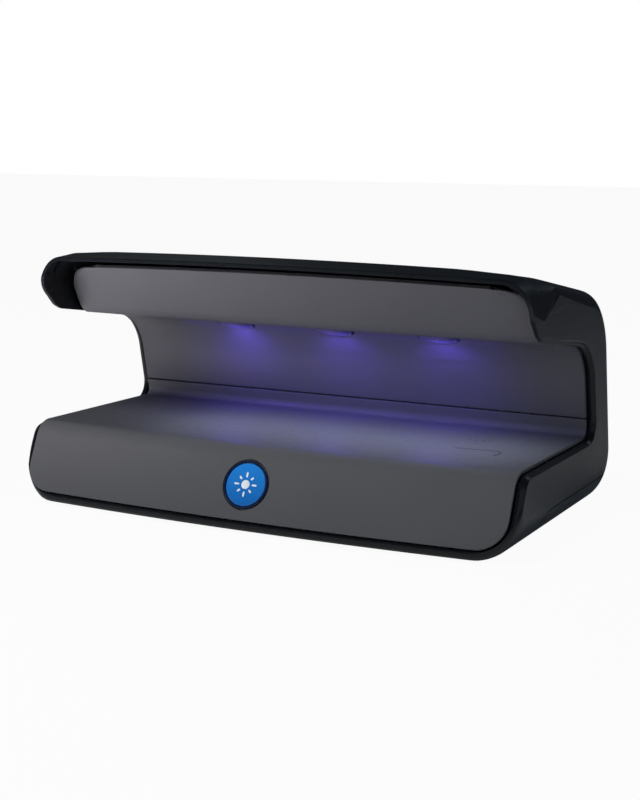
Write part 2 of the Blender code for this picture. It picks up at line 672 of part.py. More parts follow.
# (radius, height) out of the rear wall
JACK_PROFILE = [(2.8, 0.9), (5.6, 0.9), (5.6, 0.35), (4.1, 0.35), (4.1, -11.0),
                (0.0, -11.0), (0.0, -9.0), (2.8, -9.0), (2.8, 0.9)]
JACK_PIN_PROFILE = [(0, -1.5), (0.7, -1.6), (1.0, -2.2), (1.0, -8.7), (0, -8.7)]
JACK_NUT_PROFILE = [(5.2, -3.4), (7.4, -3.4), (7.4, -5.6), (5.2, -5.6), (5.2, -3.4)]

ROCKER_TILT = math.radians(9.0)
ROCKER_AXIS_OUT = -1.6
ROCKER_R = 5.3                             # half length, and radius of the belly
ROCKER_MIDDLE = 2.9                        # top face above the axis
ROCKER_HALF_W = 3.2


def rear_at(x, out):
    """Point at the ports' height on the rear wall, moved out of the wall."""
    y = BOTTOM_REAR[0] + REAR_UP[0] * PORT_RUN + REAR_UP[1] * out
    z = BOTTOM_REAR[1] + REAR_UP[1] * PORT_RUN - REAR_UP[0] * out
    return from_crease(x, y, z)


def build_jack(shell):
    centre = rear_at(JACK_X, 0)
    boolean(shell, turned("cut_jack", cylinder(4.5, 6, -8), centre, 28, rot=REAR_ROT))
    turned("power_jack", JACK_PROFILE, centre, 28,
           material("power_jack", **CHIP_BLACK), REAR_ROT)
    turned("jack_pin", JACK_PIN_PROFILE, centre, 16,
           material("jack_pin", **STEEL), REAR_ROT)
    turned("jack_nut", JACK_NUT_PROFILE, centre, 6,
           material("jack_nut", **STEEL), REAR_ROT)


def switch_box(name, size, out, mat=None):
    return box(name, size, rear_at(SWITCH_X, out), mat, REAR_ROT)


def build_switch_frame(shell):
    boolean(shell, switch_box("cut_switch", (14.0, 9.8, 20.0), 0))
    frame = switch_box("switch_frame", (17.0, 12.6, 1.5), 1.1,
                       material("switch_frame", **FRAME_BLACK))
    bevel = frame.modifiers.new("edges", 'BEVEL')
    bevel.width = 0.5 * MM
    bevel.segments = 2
    bevel.limit_method = 'ANGLE'
    boolean(frame, switch_box("cut_switch_body", (13.2, 9.0, 11.0), -4.6), 'UNION')
    boolean(frame, switch_box("cut_switch_well", (11.4, 7.2, 11.6), -2.6))


def build_rocker():
    """Rocker that turns about the upright axis of the rear wall, so it tips
    sideways; its top dips to the middle and its belly is round."""
    end = ROCKER_MIDDLE + ROCKER_R * math.tan(ROCKER_TILT)
    belly = [math.radians(30 - k * 20) for k in range(7)]
    right = [(ROCKER_R * 0.98, end)]
    right += [(ROCKER_R * math.cos(a), ROCKER_R * math.sin(a)) for a in belly]
    left = [(-x, z) for x, z in reversed(right)]
    outline = [(0.0, ROCKER_MIDDLE)] + right + [(0.0, 0.2 - ROCKER_R)] + left
    bm = loft([-ROCKER_HALF_W, ROCKER_HALF_W], lambda y: outline,
              lambda y, x, z: Vector((x * MM, y * MM, z * MM)))
    rocker = mesh_object("power_rocker", bm, material("power_rocker", **ROCKER_BLACK))

    axis = bpy.data.objects.new("rocker_axis", None)
    parts.objects.link(axis)
    axis.location = Vector(rear_at(SWITCH_X, ROCKER_AXIS_OUT)) * MM
    axis.rotation_euler = REAR_ROT
    rocker.parent = axis
    rocker.rotation_euler = (0.0, ROCKER_TILT, 0.0)


# ---------------------------------------------------------------------- wiring
WIRE_R = 0.75
WIRE_BEND, WIRE_BEND_SEGMENTS = 3.0, 2
WIRE_Y = BOARD_Y + 12.0                    # where the wires meet the control board
WIRE_FOOT_Z = BOARD_Z + 1.8
LED_WIRE_X, JACK_WIRE_X = -30.0, 38.0      # middle of each pair at that board
# tag, sideways offset in the pair, finish
WIRES = (("red", -1.6, WIRE_RED), ("black", 1.6, WIRE_BLACK))


def soft_path(points):
    """Path with its corners softened by quadratic curves."""
    points = [Vector(p) for p in points]
    out = [points[0]]
    for before, corner, after in zip(points, points[1:], points[2:]):
        run = min(WIRE_BEND, 0.45 * (before - corner).length,
                  0.45 * (after - corner).length)
        start = corner + (before - corner).normalized() * run
        end = corner + (after - corner).normalized() * run
        for k in range(WIRE_BEND_SEGMENTS + 1):
            t = k / WIRE_BEND_SEGMENTS
            out.append((1 - t) ** 2 * start + 2 * t * (1 - t) * corner + t * t * end)
    return out + [points[-1]]


def wire(name, points, finish):
    path = soft_path(points)
    curve = bpy.data.curves.new(name, 'CURVE')
    curve.dimensions = '3D'
    spline = curve.splines.new('POLY')
    spline.points.add(len(path) - 1)
    for spline_point, point in zip(spline.points, path):
        spline_point.co = (*(v * MM for v in point), 1.0)
    curve.bevel_depth = WIRE_R * MM
    curve.bevel_resolution = 2
    curve.use_fill_caps = True
    ob = new_object(name, curve, material(name, **finish))
    weld = ob.modifiers.new("caps", 'WELD')
    weld.merge_threshold = 1e-6


def build_led_wires():
    """From the control board up behind the throat to the LED board."""
    for tag, offset, finish in WIRES:
        x = LED_WIRE_X + offset
        wire("led_wire_" + tag, [
            (x, WIRE_Y, WIRE_FOOT_Z), (x, WIRE_Y, BOARD_Z + 6.0),
            (x, 39.0, BOARD_Z + 12.0), (x, 38.0, 38.0), (x, 32.0, 54.0),
            (x, 25.0, 62.5), led_at(x, back=7.6, along=7.6)], finish)


def build_jack_wires():
    """From the back of the jack down to the control board."""
    _, jack_y, jack_z = rear_at(JACK_X, -12.0)
    for tag, offset, finish in WIRES:
        jack_x = JACK_X + offset * 1.5
        x, y = JACK_WIRE_X + offset, WIRE_Y + offset
        wire("jack_wire_" + tag, [
            (jack_x, jack_y, jack_z), (jack_x, jack_y - 5.0, jack_z - 2.5),
            (jack_x - 4.0, y, BOARD_Z + 8.0), (x, y, BOARD_Z + 5.5),
            (x, y, WIRE_FOOT_Z)], finish)


def main():
    shell, base = build_housing()
    build_led_windows(build_upper_liner())
    build_led_board()
    build_badge(build_lower_liner())
    build_feet(shell, base)
    build_base_screws(base)
    build_control_board()
    build_board_components()
    build_jack(shell)
    build_switch_frame(shell)
    build_rocker()
    build_led_wires()
    build_jack_wires()


main()
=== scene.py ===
"""Looks of a desktop ultraviolet banknote detector.

The frame has X to the right, +Y to the rear and +Z up, with the feet standing on
z = 0.  The housing is drawn as (y, z) sections measured from the crease, the line
deep in the throat where the hood's liner meets the platform's, and lofted along X.
Dimensions are in millimetres; meshes are written in metres.
"""
import bpy
import bmesh
import math
from mathutils import Matrix, Vector

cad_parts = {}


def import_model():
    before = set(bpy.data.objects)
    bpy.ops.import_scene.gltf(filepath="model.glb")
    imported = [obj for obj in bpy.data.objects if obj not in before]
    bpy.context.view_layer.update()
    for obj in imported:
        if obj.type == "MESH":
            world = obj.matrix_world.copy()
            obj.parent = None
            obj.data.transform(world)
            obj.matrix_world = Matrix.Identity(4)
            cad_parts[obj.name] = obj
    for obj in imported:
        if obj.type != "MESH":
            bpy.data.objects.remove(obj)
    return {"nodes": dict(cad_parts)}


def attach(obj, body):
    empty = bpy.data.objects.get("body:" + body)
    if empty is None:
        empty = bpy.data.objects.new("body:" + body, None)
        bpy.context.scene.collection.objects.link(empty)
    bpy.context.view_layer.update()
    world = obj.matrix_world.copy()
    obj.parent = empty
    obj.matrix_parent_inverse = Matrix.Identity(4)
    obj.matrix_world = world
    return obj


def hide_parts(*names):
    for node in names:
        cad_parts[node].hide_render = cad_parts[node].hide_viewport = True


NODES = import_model()["nodes"]
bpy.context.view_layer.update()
SCENE = bpy.context.scene
MM = 0.001
NO_TURN = Matrix.Identity(4)

# ------------------------------------------------------------------ dimensions
CREASE_Y, CREASE_Z = 23.53, 32.2          # the crease in the frame's axes
FOOT_H = 1.3
BOTTOM_Z = FOOT_H - CREASE_Z              # underside, from the crease
PART_Z, PART_GAP = -21.0, 0.35            # joint of shell and base
BOW, CROWN = 4.0, 1.6                     # bulge of the front and of the top at x = 0

# half widths
HALF_W, RIM_X, STEP_X = 88.3, 85.9, 86.9
WALL_GAP = 0.5
LINER_X = RIM_X - WALL_GAP
FACE_X, FACE_R = 87.2, 9.5                # rim face: half width, end radius
COLLAR_X, COLLAR_R = 88.1, 11.5           # collar behind it

# radii at the ends of the housing, seen along Y or Z
TOP_R, REAR_R, BOTTOM_R = 6.5, 14.0, 12.5
OPEN_TOP_R, OPEN_LOW_R, OPEN_REAR_R = 8.6, 9.0, 11.0
RIM_OFF, RIM_OFF_END = 1.2, 2.0           # outer skin behind the throat's outline
UNDER_OFF = 0.4                           # the same, under the nose

# corners of the section, from the crease
FASCIA_LOW = (-75.3, -27.0)
PLATFORM_EDGE = (-65.5, -5.56)
PLATFORM_BACK = (1.3, -5.8)
THROAT_TOP = (-5.5, 24.2)
HOOD_LOW = (-53.0, 31.0)
NOSE_BOTTOM, RIM_TOP = (-63.3, 38.8), (-63.3, 49.6)
COLLAR_TOP = (-54.0, 51.1)
REAR_TOP, REAR_BOTTOM = (18.9, 38.8), (33.9, BOTTOM_Z)
PLATFORM_EDGE_R, PLATFORM_BACK_R, THROAT_R, NOSE_R = 7.0, 4.5, 18.0, 8.5

# liners
UPPER_T, LOWER_T = 1.6, 1.2
LIP, LIP_R = (-42.35, 29.5), 7.0
SLOPE_TOP = (-52.0, 45.6)
HOOD_CORNER_Z, HOOD_CORNER_R = 38.2, 7.6
HOOD_END_R = 8.0
LOW_R = 9.5                               # lower corners of the fascia

# lamp windows in the throat's arc
THROAT_CENTRE = (-22.6, 8.4)
LED_PITCH, LED_TILT, LENS_R = 38.6, math.radians(21.0), 7.2
SIDES = (("left", -LED_PITCH), ("centre", 0.0), ("right", LED_PITCH))

BADGE_R, BADGE_DOWN = 7.6, 12.2           # BADGE_DOWN is along the fascia
DISC_R = BADGE_R - 0.75
JACK_X, SWITCH_X, PORT_UP = 52.0, 26.0, -7.0
CORNER_X = 66.0                           # feet and screws
FOOT_RECESS_R = 5.9


def corners(front_y, rear_y):
    """Four (x, y, tag) places, in the frame's axes."""
    return [(x, y, f"{row}_{side}")
            for side, x in (("left", -CORNER_X), ("right", CORNER_X))
            for row, y in (("front", front_y), ("rear", rear_y))]


FEET = corners(-38.0, 27.5)
SCREWS = corners(-10.0, 14.0)


# ------------------------------------------------------------------- 2D helpers
def sub(end, start):
    return (end[0] - start[0], end[1] - start[1])


def unit(vector):
    length = math.hypot(*vector)
    return (vector[0] / length, vector[1] / length)


def lerp(start, end, part):
    return start[0] + (end[0] - start[0]) * part, start[1] + (end[1] - start[1]) * part


def smooth(value, low, high):
    part = max(0.0, min(1.0, (value - low) / (high - low)))
    return part * part * (3 - 2 * part)


def shifted(points, insets):
    """Closed outline with run i moved in by insets[i]."""
    lines = []
    for i, start in enumerate(points):
        way = unit(sub(points[(i + 1) % len(points)], start))
        lines.append(((start[0] + way[1] * insets[i], start[1] - way[0] * insets[i]), way))
    out = []
    for i, (other, other_way) in enumerate(lines):
        start, way = lines[i - 1]
        cross = way[0] * other_way[1] - way[1] * other_way[0]
        gap = sub(other, start)
        reach = (gap[0] * other_way[1] - gap[1] * other_way[0]) / cross
        out.append((start[0] + way[0] * reach, start[1] + way[1] * reach))
    return out


def fillet(before, corner, after, radius, seg):
    """Arc at a corner, made smaller where the neighbouring runs are short."""
    back, ahead = unit(sub(before, corner)), unit(sub(after, corner))
    cosine = max(-0.9999, min(0.9999, back[0] * ahead[0] + back[1] * ahead[1]))
    half = math.acos(cosine) / 2
    room = 0.49 * min(math.hypot(*sub(before, corner)), math.hypot(*sub(after, corner)))
    reach = min(radius / math.tan(half), room)
    radius = reach * math.tan(half)
    mid = unit((back[0] + ahead[0], back[1] + ahead[1]))
    centre = (corner[0] + mid[0] * radius / math.sin(half),
              corner[1] + mid[1] * radius / math.sin(half))

    def angle(way):
        return math.atan2(corner[1] + way[1] * reach - centre[1],
                          corner[0] + way[0] * reach - centre[0])

    start = angle(back)
    turn = (angle(ahead) - start + math.pi) % (2 * math.pi) - math.pi
    return [(centre[0] + radius * math.cos(start + turn * k / seg),
             centre[1] + radius * math.sin(start + turn * k / seg))
            for k in range(seg + 1)]


def rounded(points, radii, segs, closed=True):
    out = []
    last = len(points) - 1
    for i, point in enumerate(points):
        if segs[i] == 0 or (not closed and i in (0, last)):
            out.append(point)
        else:
            after = points[(i + 1) % len(points)]
            out += fillet(points[i - 1], point, after, radii[i], segs[i])
    return out


def split_runs(points, counts):
    """Closed outline with run i cut into counts[i] pieces, so that bowed and
    crowned faces stay smooth."""
    out = []
    for i, start in enumerate(points):
        end = points[(i + 1) % len(points)]
        pieces = counts.get(i, 1)
        out += [lerp(start, end, k / pieces) for k in range(pieces)]
    return out


def densify(points, longest):
    out = [points[0]]
    for start, end in zip(points, points[1:]):
        pieces = max(1, math.ceil(math.hypot(*sub(end, start)) / longest))
        out += [lerp(start, end, k / pieces) for k in range(1, pieces + 1)]
    return out


def end_drop(side, radius, end):
    """Inset of a face at |x| = side, where it rounds off towards its end."""
    over = max(0.0, side - (end - radius))
    return radius - math.sqrt(max(0.0, radius * radius - over * over))


def mirrored(values):
    values = sorted(set(round(value, 4) for value in values))
    return [-value for value in reversed(values) if value > 0] + values


def arc_stations(end, radius):
    return [end - radius + radius * math.sin(math.radians(deg))
            for deg in range(0, 91, 6)]


# --------------------------------------------------- from the crease to the frame
def at(y, z):
    return y + CREASE_Y, z + CREASE_Z


def straight(x, y, z):
    return Vector((x * MM, (y + CREASE_Y) * MM, (z + CREASE_Z) * MM))


def place(x, y, z):
    """Frame point in metres, with the bow of the front and the crown of the top."""
    middle = 1.0 - min(1.0, (x / HALF_W) ** 2)
    return straight(x, y - BOW * middle * smooth(-y, 18.0, 56.0),
                    z + CROWN * middle * smooth(z, 30.0, 46.0))


# The rear wall leans; its ports are placed along it and out from it.
WALL_WAY = unit(sub(REAR_TOP, REAR_BOTTOM))
WALL_LEAN = math.atan2(-WALL_WAY[0], WALL_WAY[1])
WALL_ROT = Matrix.Rotation(-(math.pi / 2 - WALL_LEAN), 4, 'X')


def rear_at(x, out=0):
    """Frame point on the ports' line, `out` beyond the rear wall."""
    along = -REAR_BOTTOM[1] / WALL_WAY[1] + PORT_UP
    y = REAR_BOTTOM[0] + WALL_WAY[0] * along + WALL_WAY[1] * out
    z = REAR_BOTTOM[1] + WALL_WAY[1] * along - WALL_WAY[0] * out
    return Vector((x, *at(y, z)))


# The windows' axis runs up from the throat arc's centre.
LED_AXIS = (math.sin(LED_TILT), math.cos(LED_TILT))
LED_ROT = Matrix.Rotation(-LED_TILT, 4, 'X')


def window_at(x, up=0):
    """Frame point on a window's axis, `up` beyond the throat's surface."""
    y = THROAT_CENTRE[0] + THROAT_R * LED_AXIS[0] + LED_AXIS[0] * up
    z = THROAT_CENTRE[1] + THROAT_R * LED_AXIS[1] + LED_AXIS[1] * up
    return (x, *at(y, z))


FASCIA_WAY = unit(sub(FASCIA_LOW, PLATFORM_EDGE))
BADGE_AT = (0.0, *at(PLATFORM_EDGE[0] + FASCIA_WAY[0] * BADGE_DOWN - BOW,
                     PLATFORM_EDGE[1] + FASCIA_WAY[1] * BADGE_DOWN))
BADGE_ROT = Matrix.Rotation(math.pi / 2 - math.atan2(-FASCIA_WAY[0], -FASCIA_WAY[1]),
                            4, 'X')


# ------------------------------------------------------------- mesh utilities
def from_bmesh(name, mesh, fix=True):
    data = bpy.data.meshes.new(name)
    if fix:
        bmesh.ops.recalc_face_normals(mesh, faces=mesh.faces)
    mesh.to_mesh(data)
    mesh.free()
    part = bpy.data.objects.new(name, data)
    SCENE.collection.objects.link(part)
    return part


def pose(part, centre, rot):
    part.data.transform(Matrix.Translation(Vector(centre) * MM) @ rot)
    return part


def skin(mesh, rings, flip=False):
    """Faces between rings of vertices, and a cap on each end."""
    count = len(rings[0])
    for ring, other in zip(rings, rings[1:]):
        for i in range(count):
            j = (i + 1) % count
            mesh.faces.new((ring[i], ring[j], other[j], other[i]))
    for ring, back in ((rings[0], flip), (rings[-1], not flip)):
        mesh.faces.new(ring[::-1] if back else ring)


def loft(name, stations, section, pos=place):
    mesh = bmesh.new()
    skin(mesh, [[mesh.verts.new(pos(x, *point)) for point in section(x)]
                for x in stations])
    return from_bmesh(name, mesh)


def turned(name, profile, centre, rot=NO_TURN, steps=64):
    """Body from a profile of (radius, height) turned about its own Z."""
    mesh = bmesh.new()
    rings = []
    for radius, height in profile:
        if radius <= 1e-6:
            rings.append([mesh.verts.new((0, 0, height * MM))])
        else:
            rings.append([mesh.verts.new((radius * MM * math.cos(2 * math.pi * k / steps),
                                          radius * MM * math.sin(2 * math.pi * k / steps),
                                          height * MM)) for k in range(steps)])
    for ring, other in zip(rings, rings[1:]):
        if len(ring) == 1 and len(other) == 1:
            continue
        for k in range(steps):
            j = (k + 1) % steps
            if len(ring) == 1:
                mesh.faces.new((ring[0], other[k], other[j]))
            elif len(other) == 1:
                mesh.faces.new((ring[k], other[0], ring[j]))
            else:
                mesh.faces.new((ring[k], other[k], other[j], ring[j]))
    if profile[0] == profile[-1]:
        bmesh.ops.remove_doubles(mesh, verts=mesh.verts, dist=1e-7)
    return pose(from_bmesh(name, mesh), centre, rot)


def peg(name, radius, top, bottom, centre, rot=NO_TURN, steps=64):
    """Plain cylinder, used as a cutter."""
    profile = [(0, top), (radius, top), (radius, bottom), (0, bottom)]
    return turned(name, profile, centre, rot, steps)


def block(name, size, centre, rot, bevel=0.0, seg=3):
    mesh = bmesh.new()
    bmesh.ops.create_cube(mesh, size=1.0)
    bmesh.ops.scale(mesh, vec=Vector(size) * MM, verts=mesh.verts)
    if bevel:
        bmesh.ops.bevel(mesh, geom=list(mesh.edges), offset=bevel * MM, segments=seg,
                        profile=0.5, affect='EDGES')
    return pose(from_bmesh(name, mesh), centre, rot)


def plate(name, outline, bottom, top, centre=(0, 0, 0), rot=NO_TURN):
    mesh = bmesh.new()
    skin(mesh, [[mesh.verts.new((x * MM, y * MM, z * MM)) for x, y in outline]
                for z in (bottom, top)], flip=True)
    return pose(from_bmesh(name, mesh), centre, rot)


def grid_shell(name, rows, columns, thickness):
    """Sheet through rows, each a function of a column's place from -1 to 1."""
    mesh = bmesh.new()
    grid = [[mesh.verts.new(place(*row(column))) for column in columns] for row in rows]
    for line, other in zip(grid, grid[1:]):
        for i in range(len(columns) - 1):
            mesh.faces.new((line[i], other[i], other[i + 1], line[i + 1]))
    part = from_bmesh(name, mesh, fix=False)
    wall = part.modifiers.new("wall", 'SOLIDIFY')
    wall.thickness = thickness * MM
    wall.offset = -1.0
    wall.use_even_offset = True
    return bake_modifiers(part)


def join(name, parts):
    mesh = bmesh.new()
    for part in parts:
        mesh.from_mesh(part.data)
    joined = from_bmesh(name, mesh, fix=False)
    for part in parts:
        bpy.data.objects.remove(part, do_unlink=True)
    return joined


def bake_modifiers(part):
    """Replace an object's mesh by its evaluated mesh and drop the modifiers."""
    bpy.context.view_layer.update()
    graph = bpy.context.evaluated_depsgraph_get()
    data = bpy.data.meshes.new_from_object(part.evaluated_get(graph))
    part.modifiers.clear()
    old = part.data
    part.data = data
    bpy.data.meshes.remove(old)
    return part


def cut(part, cutters, op='DIFFERENCE', keep=False):
    for cutter in cutters:
        modifier = part.modifiers.new("cut", 'BOOLEAN')
        modifier.operation = op
        modifier.solver = 'EXACT'
        modifier.object = cutter
    bake_modifiers(part)
    if not keep:
        for cutter in cutters:
            bpy.data.objects.remove(cutter, do_unlink=True)


def bevel_sharp(part, width, min_deg, seg):
    """Small real edge rounding on the sharp edges of a body."""
    mesh = bmesh.new()
    mesh.from_mesh(part.data)
    bmesh.ops.remove_doubles(mesh, verts=mesh.verts, dist=2e-6)
    bmesh.ops.dissolve_degenerate(mesh, edges=mesh.edges, dist=2e-6)
    limit = math.radians(min_deg)
    edges = [edge for edge in mesh.edges
             if len(edge.link_faces) == 2 and edge.calc_face_angle(0.0) > limit]
    bmesh.ops.bevel(mesh, geom=edges, offset=width * MM, segments=seg, profile=0.5,
                    affect='EDGES', clamp_overlap=False, loop_slide=True)
    mesh.to_mesh(part.data)
    mesh.free()


def finish_mesh(part, angle):
    part.data.shade_smooth()
    part.data.set_sharp_from_angle(angle=math.radians(angle))
    normals = part.modifiers.new("weighted", 'WEIGHTED_NORMAL')
    normals.keep_sharp = True
    normals.weight = 60


def paint(part, material):
    part.data.materials.clear()
    part.data.materials.append(material)


def register(part, material, node=None, rides="housing"):
    """Material, and the frame's bookkeeping."""
    paint(part, material)
    if node:
        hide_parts(node)
    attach(part, rides)


def piece(part, material, node=None, rides="housing", angle=30.0):
    finish_mesh(part, angle)
    register(part, material, node, rides)


# -------------------------------------------------------------- node materials
class Nodes:
    """Node tree of a material or a world, with a method for each common node."""

    def __init__(self, owner):
        owner.use_nodes = True
        self.tree = owner.node_tree
        self.tree.nodes.clear()

    def node(self, kind, inputs={}, **settings):
        node = self.tree.nodes.new("ShaderNode" + kind)
        for key, value in settings.items():
            setattr(node, key, value)
        self.feed(node, inputs)
        return node

    def feed(self, node, inputs):
        """Link or set inputs; colours are given without alpha."""
        for key, value in inputs.items():
            socket = node.inputs[key]
            if isinstance(value, bpy.types.NodeSocket):
                self.tree.links.new(value, socket)
            elif socket.type == 'RGBA':
                socket.default_value = (*value, 1.0)
            else:
                socket.default_value = value

    def coords(self):
        return self.node("TexCoord").outputs["Object"]

    def scaled(self, point, scale):
        return self.node("Mapping", {"Scale": scale, "Vector": point}).outputs["Vector"]

    def noise(self, point, scale, detail=4.0, rough=0.55):
        return self.node("TexNoise", {"Scale": scale, "Detail": detail,
                                      "Roughness": rough, "Vector": point}).outputs["Fac"]

    def ramp(self, value, *stops):
        """Colour ramp through (position, colour) stops."""
        node = self.node("ValToRGB", {"Fac": value})
        elements = node.color_ramp.elements
        for element, (position, rgb) in ((elements[0], stops[0]), (elements[1], stops[-1])):
            element.position, element.color = position, (*rgb, 1.0)
        for position, rgb in stops[1:-1]:
            elements.new(position).color = (*rgb, 1.0)
        return node.outputs["Color"]

    def span(self, value, to, over=(0.0, 1.0)):
        """Map the range `over` to the range `to`."""
        return self.node("MapRange", {"From Min": over[0], "From Max": over[1],
                                      "To Min": to[0], "To Max": to[1],
                                      "Value": value}).outputs["Result"]

    def math(self, op, *values):
        return self.node("Math", dict(enumerate(values)), operation=op).outputs[0]

    def mix(self, part, first, second):
        return self.node("Mix", {0: part, 6: first, 7: second},
                         data_type='RGBA').outputs[2]

    def bump(self, height, strength, distance):
        return self.node("Bump", {"Strength": strength, "Distance": distance,
                                  "Height": height}).outputs["Normal"]

    def axis_coords(self, centre, rot):
        """Outputs x, y, z in a turned piece's own axes, in metres."""
        own = self.node("Mapping", {"Location": tuple(Vector(centre) * MM),
                                    "Rotation": tuple(rot.to_euler()),
                                    "Vector": self.coords()}, vector_type='TEXTURE')
        return self.node("SeparateXYZ", {0: own.outputs["Vector"]}).outputs

    def axis_part(self, centre, rot, radius):
        """Distance from a turned piece's axis as a part of `radius` (mm)."""
        own = self.axis_coords(centre, rot)
        squares = [self.math('MULTIPLY', own[i], own[i]) for i in (0, 1)]
        distance = self.math('SQRT', self.math('ADD', *squares))
        return self.span(distance, to=(0.0, 1.0), over=(0.0, radius))


class Surface(Nodes):
    """New material with one principled shader."""

    def __init__(self, name):
        self.material = bpy.data.materials.new(name)
        super().__init__(self.material)
        self.output = self.node("OutputMaterial")
        self.bsdf = self.node("BsdfPrincipled")
        self.feed(self.output, {"Surface": self.bsdf.outputs[0]})

    def set(self, inputs):
        self.feed(self.bsdf, inputs)
        return self.material


MIDDLE = (0.3, 0.7)                       # the part of a noise's range in most use


def tone(rgb, factor):
    return tuple(channel * factor for channel in rgb)


def moulded(name, rgb, rough, grain=0.35, depth=0.000025, spec=0.5, metal=0.0,
            mottle=0.10, strength=0.35, wear=0.25, vary=0.035):
    """Moulded plastic: a fine grain (size in mm, bump depth in metres), faint flow
    mottling, and some handling polish on convex edges."""
    mat = Surface(name)
    point = mat.coords()
    fine = mat.noise(point, scale=1000.0 / grain, detail=2.0, rough=0.6)
    mid = mat.noise(point, scale=1000.0 / (grain * 5), detail=3.0)
    big = mat.noise(point, scale=26.0, detail=3.0, rough=0.5)
    flow = mat.ramp(big, (0.32, tone(rgb, 1 - mottle)), (0.70, tone(rgb, 1 + mottle)))
    speck = mat.ramp(fine, (0.30, tone(rgb, 0.82)), (0.72, tone(rgb, 1.2)))
    colour = mat.mix(0.35, flow, speck)
    edges = mat.span(mat.node("NewGeometry").outputs["Pointiness"],
                     to=(0.0, 1.0), over=(0.53, 0.62))
    polished = tuple(min(1.0, channel * 1.9 + 0.01) for channel in rgb)
    colour = mat.mix(mat.math('MULTIPLY', edges, wear), colour, polished)
    gloss = mat.math('ADD', mat.span(mid, to=(rough - vary, rough + vary), over=MIDDLE),
                     mat.span(big, to=(-0.03, 0.03), over=MIDDLE))
    gloss = mat.math('SUBTRACT', gloss, mat.math('MULTIPLY', edges, 0.08))
    height = mat.math('ADD', mat.math('MULTIPLY', fine, 0.75),
                      mat.math('MULTIPLY', mid, 0.25))
    return mat.set({"Base Color": colour, "Roughness": gloss, "Metallic": metal,
                    "Specular IOR Level": spec,
                    "Normal": mat.bump(height, strength=strength, distance=depth)})


def metal_mat(name, rgb, rough, brushed=(400.0, 4000.0, 4000.0)):
    """Brushed metal; `brushed` is the streaks' scale along each axis."""
    mat = Surface(name)
    streak = mat.noise(mat.scaled(mat.coords(), brushed), scale=1.0, rough=0.6)
    tarnish = mat.noise(mat.coords(), scale=180.0, detail=3.0)
    return mat.set({
        "Base Color": mat.ramp(tarnish, (0.3, tone(rgb, 1 - 0.12)), (0.7, rgb)),
        "Roughness": mat.span(streak, to=(rough - 0.08, rough + 0.1), over=MIDDLE),
        "Metallic": 1.0,
        "Normal": mat.bump(streak, strength=0.25, distance=0.00001)})


def board_mat(name, pitch=2.4):
    """Green solder mask with copper runs showing through it and tinned pads."""
    mat = Surface(name)
    point = mat.coords()
    layout = mat.scaled(point, (1000.0 / pitch,) * 3)
    runs = mat.node("TexBrick", {"Scale": 0.55, "Mortar Size": 0.07, "Mortar Smooth": 0.2,
                                 "Color1": (0.018, 0.105, 0.045),
                                 "Color2": (0.022, 0.135, 0.060),
                                 "Mortar": (0.008, 0.05, 0.02), "Vector": layout})
    cells = mat.node("TexVoronoi", {"Scale": 0.8, "Vector": layout})
    pads = mat.ramp(cells.outputs["Distance"], (0.10, (1, 1, 1)), (0.13, (0, 0, 0)))
    fleck = mat.noise(point, scale=3000.0, detail=2.0)
    mask = mat.mix(0.15, runs.outputs["Color"],
                   mat.ramp(fleck, (0.3, (0.012, 0.08, 0.03)), (0.7, (0.03, 0.16, 0.07))))
    tin = (0.62, 0.60, 0.55)
    return mat.set({
        "Base Color": mat.mix(mat.math('MULTIPLY', pads, 0.9), mask, tin),
        "Metallic": mat.math('MULTIPLY', pads, 0.8),
        "Roughness": 0.34, "Coat Weight": 0.35, "Coat Roughness": 0.15,
        "Normal": mat.bump(runs.outputs["Fac"], strength=0.5, distance=0.00003)})


def lens_mat(name, centre):
    """Frosted window with a violet glow fading towards its edge."""
    mat = Surface(name)
    glow = mat.ramp(mat.axis_part(centre, LED_ROT, LENS_R * MM),
                    (0.0, (0.50, 0.42, 1.0)), (0.22, (0.28, 0.20, 0.95)),
                    (0.62, (0.10, 0.065, 0.50)), (0.93, (0.05, 0.03, 0.25)),
                    (1.0, (0.008, 0.005, 0.03)))
    frost = mat.noise(mat.coords(), scale=2600.0, detail=3.0)
    return mat.set({
        "Base Color": mat.mix(mat.span(frost, to=(0.0, 0.35), over=(0.35, 0.65)),
                              (0.07, 0.06, 0.16), (0.12, 0.10, 0.24)),
        "Emission Color": glow, "Emission Strength": 0.07,
        "Roughness": mat.span(frost, to=(0.14, 0.30), over=MIDDLE),
        "Coat Weight": 0.6, "Coat Roughness": 0.08,
        "Normal": mat.bump(frost, strength=0.15, distance=0.00002)})


def led_mat(name, centre):
    """Yellow centre in a pale body, glowing violet."""
    mat = Surface(name)
    part = mat.axis_part(centre, LED_ROT, 0.0032)
    colour = mat.ramp(part, (0.0, (0.95, 0.80, 0.35)), (0.28, (0.9, 0.75, 0.35)),
                      (0.34, (0.86, 0.86, 0.88)), (1.0, (0.78, 0.78, 0.80)))
    grain = mat.noise(mat.coords(), scale=1800.0, detail=2.0)
    fleck = mat.ramp(grain, (0.3, (0.6, 0.6, 0.65)), (0.7, (0.95, 0.95, 0.95)))
    return mat.set({
        "Base Color": mat.mix(0.12, colour, fleck),
        "Emission Color": mat.ramp(part, (0.0, (0.6, 0.5, 1.0)), (0.5, (0.15, 0.1, 0.7)),
                                   (1.0, (0.02, 0.01, 0.1))),
        "Emission Strength": 1.5,
        "Roughness": mat.span(grain, to=(0.1, 0.25), over=MIDDLE)})


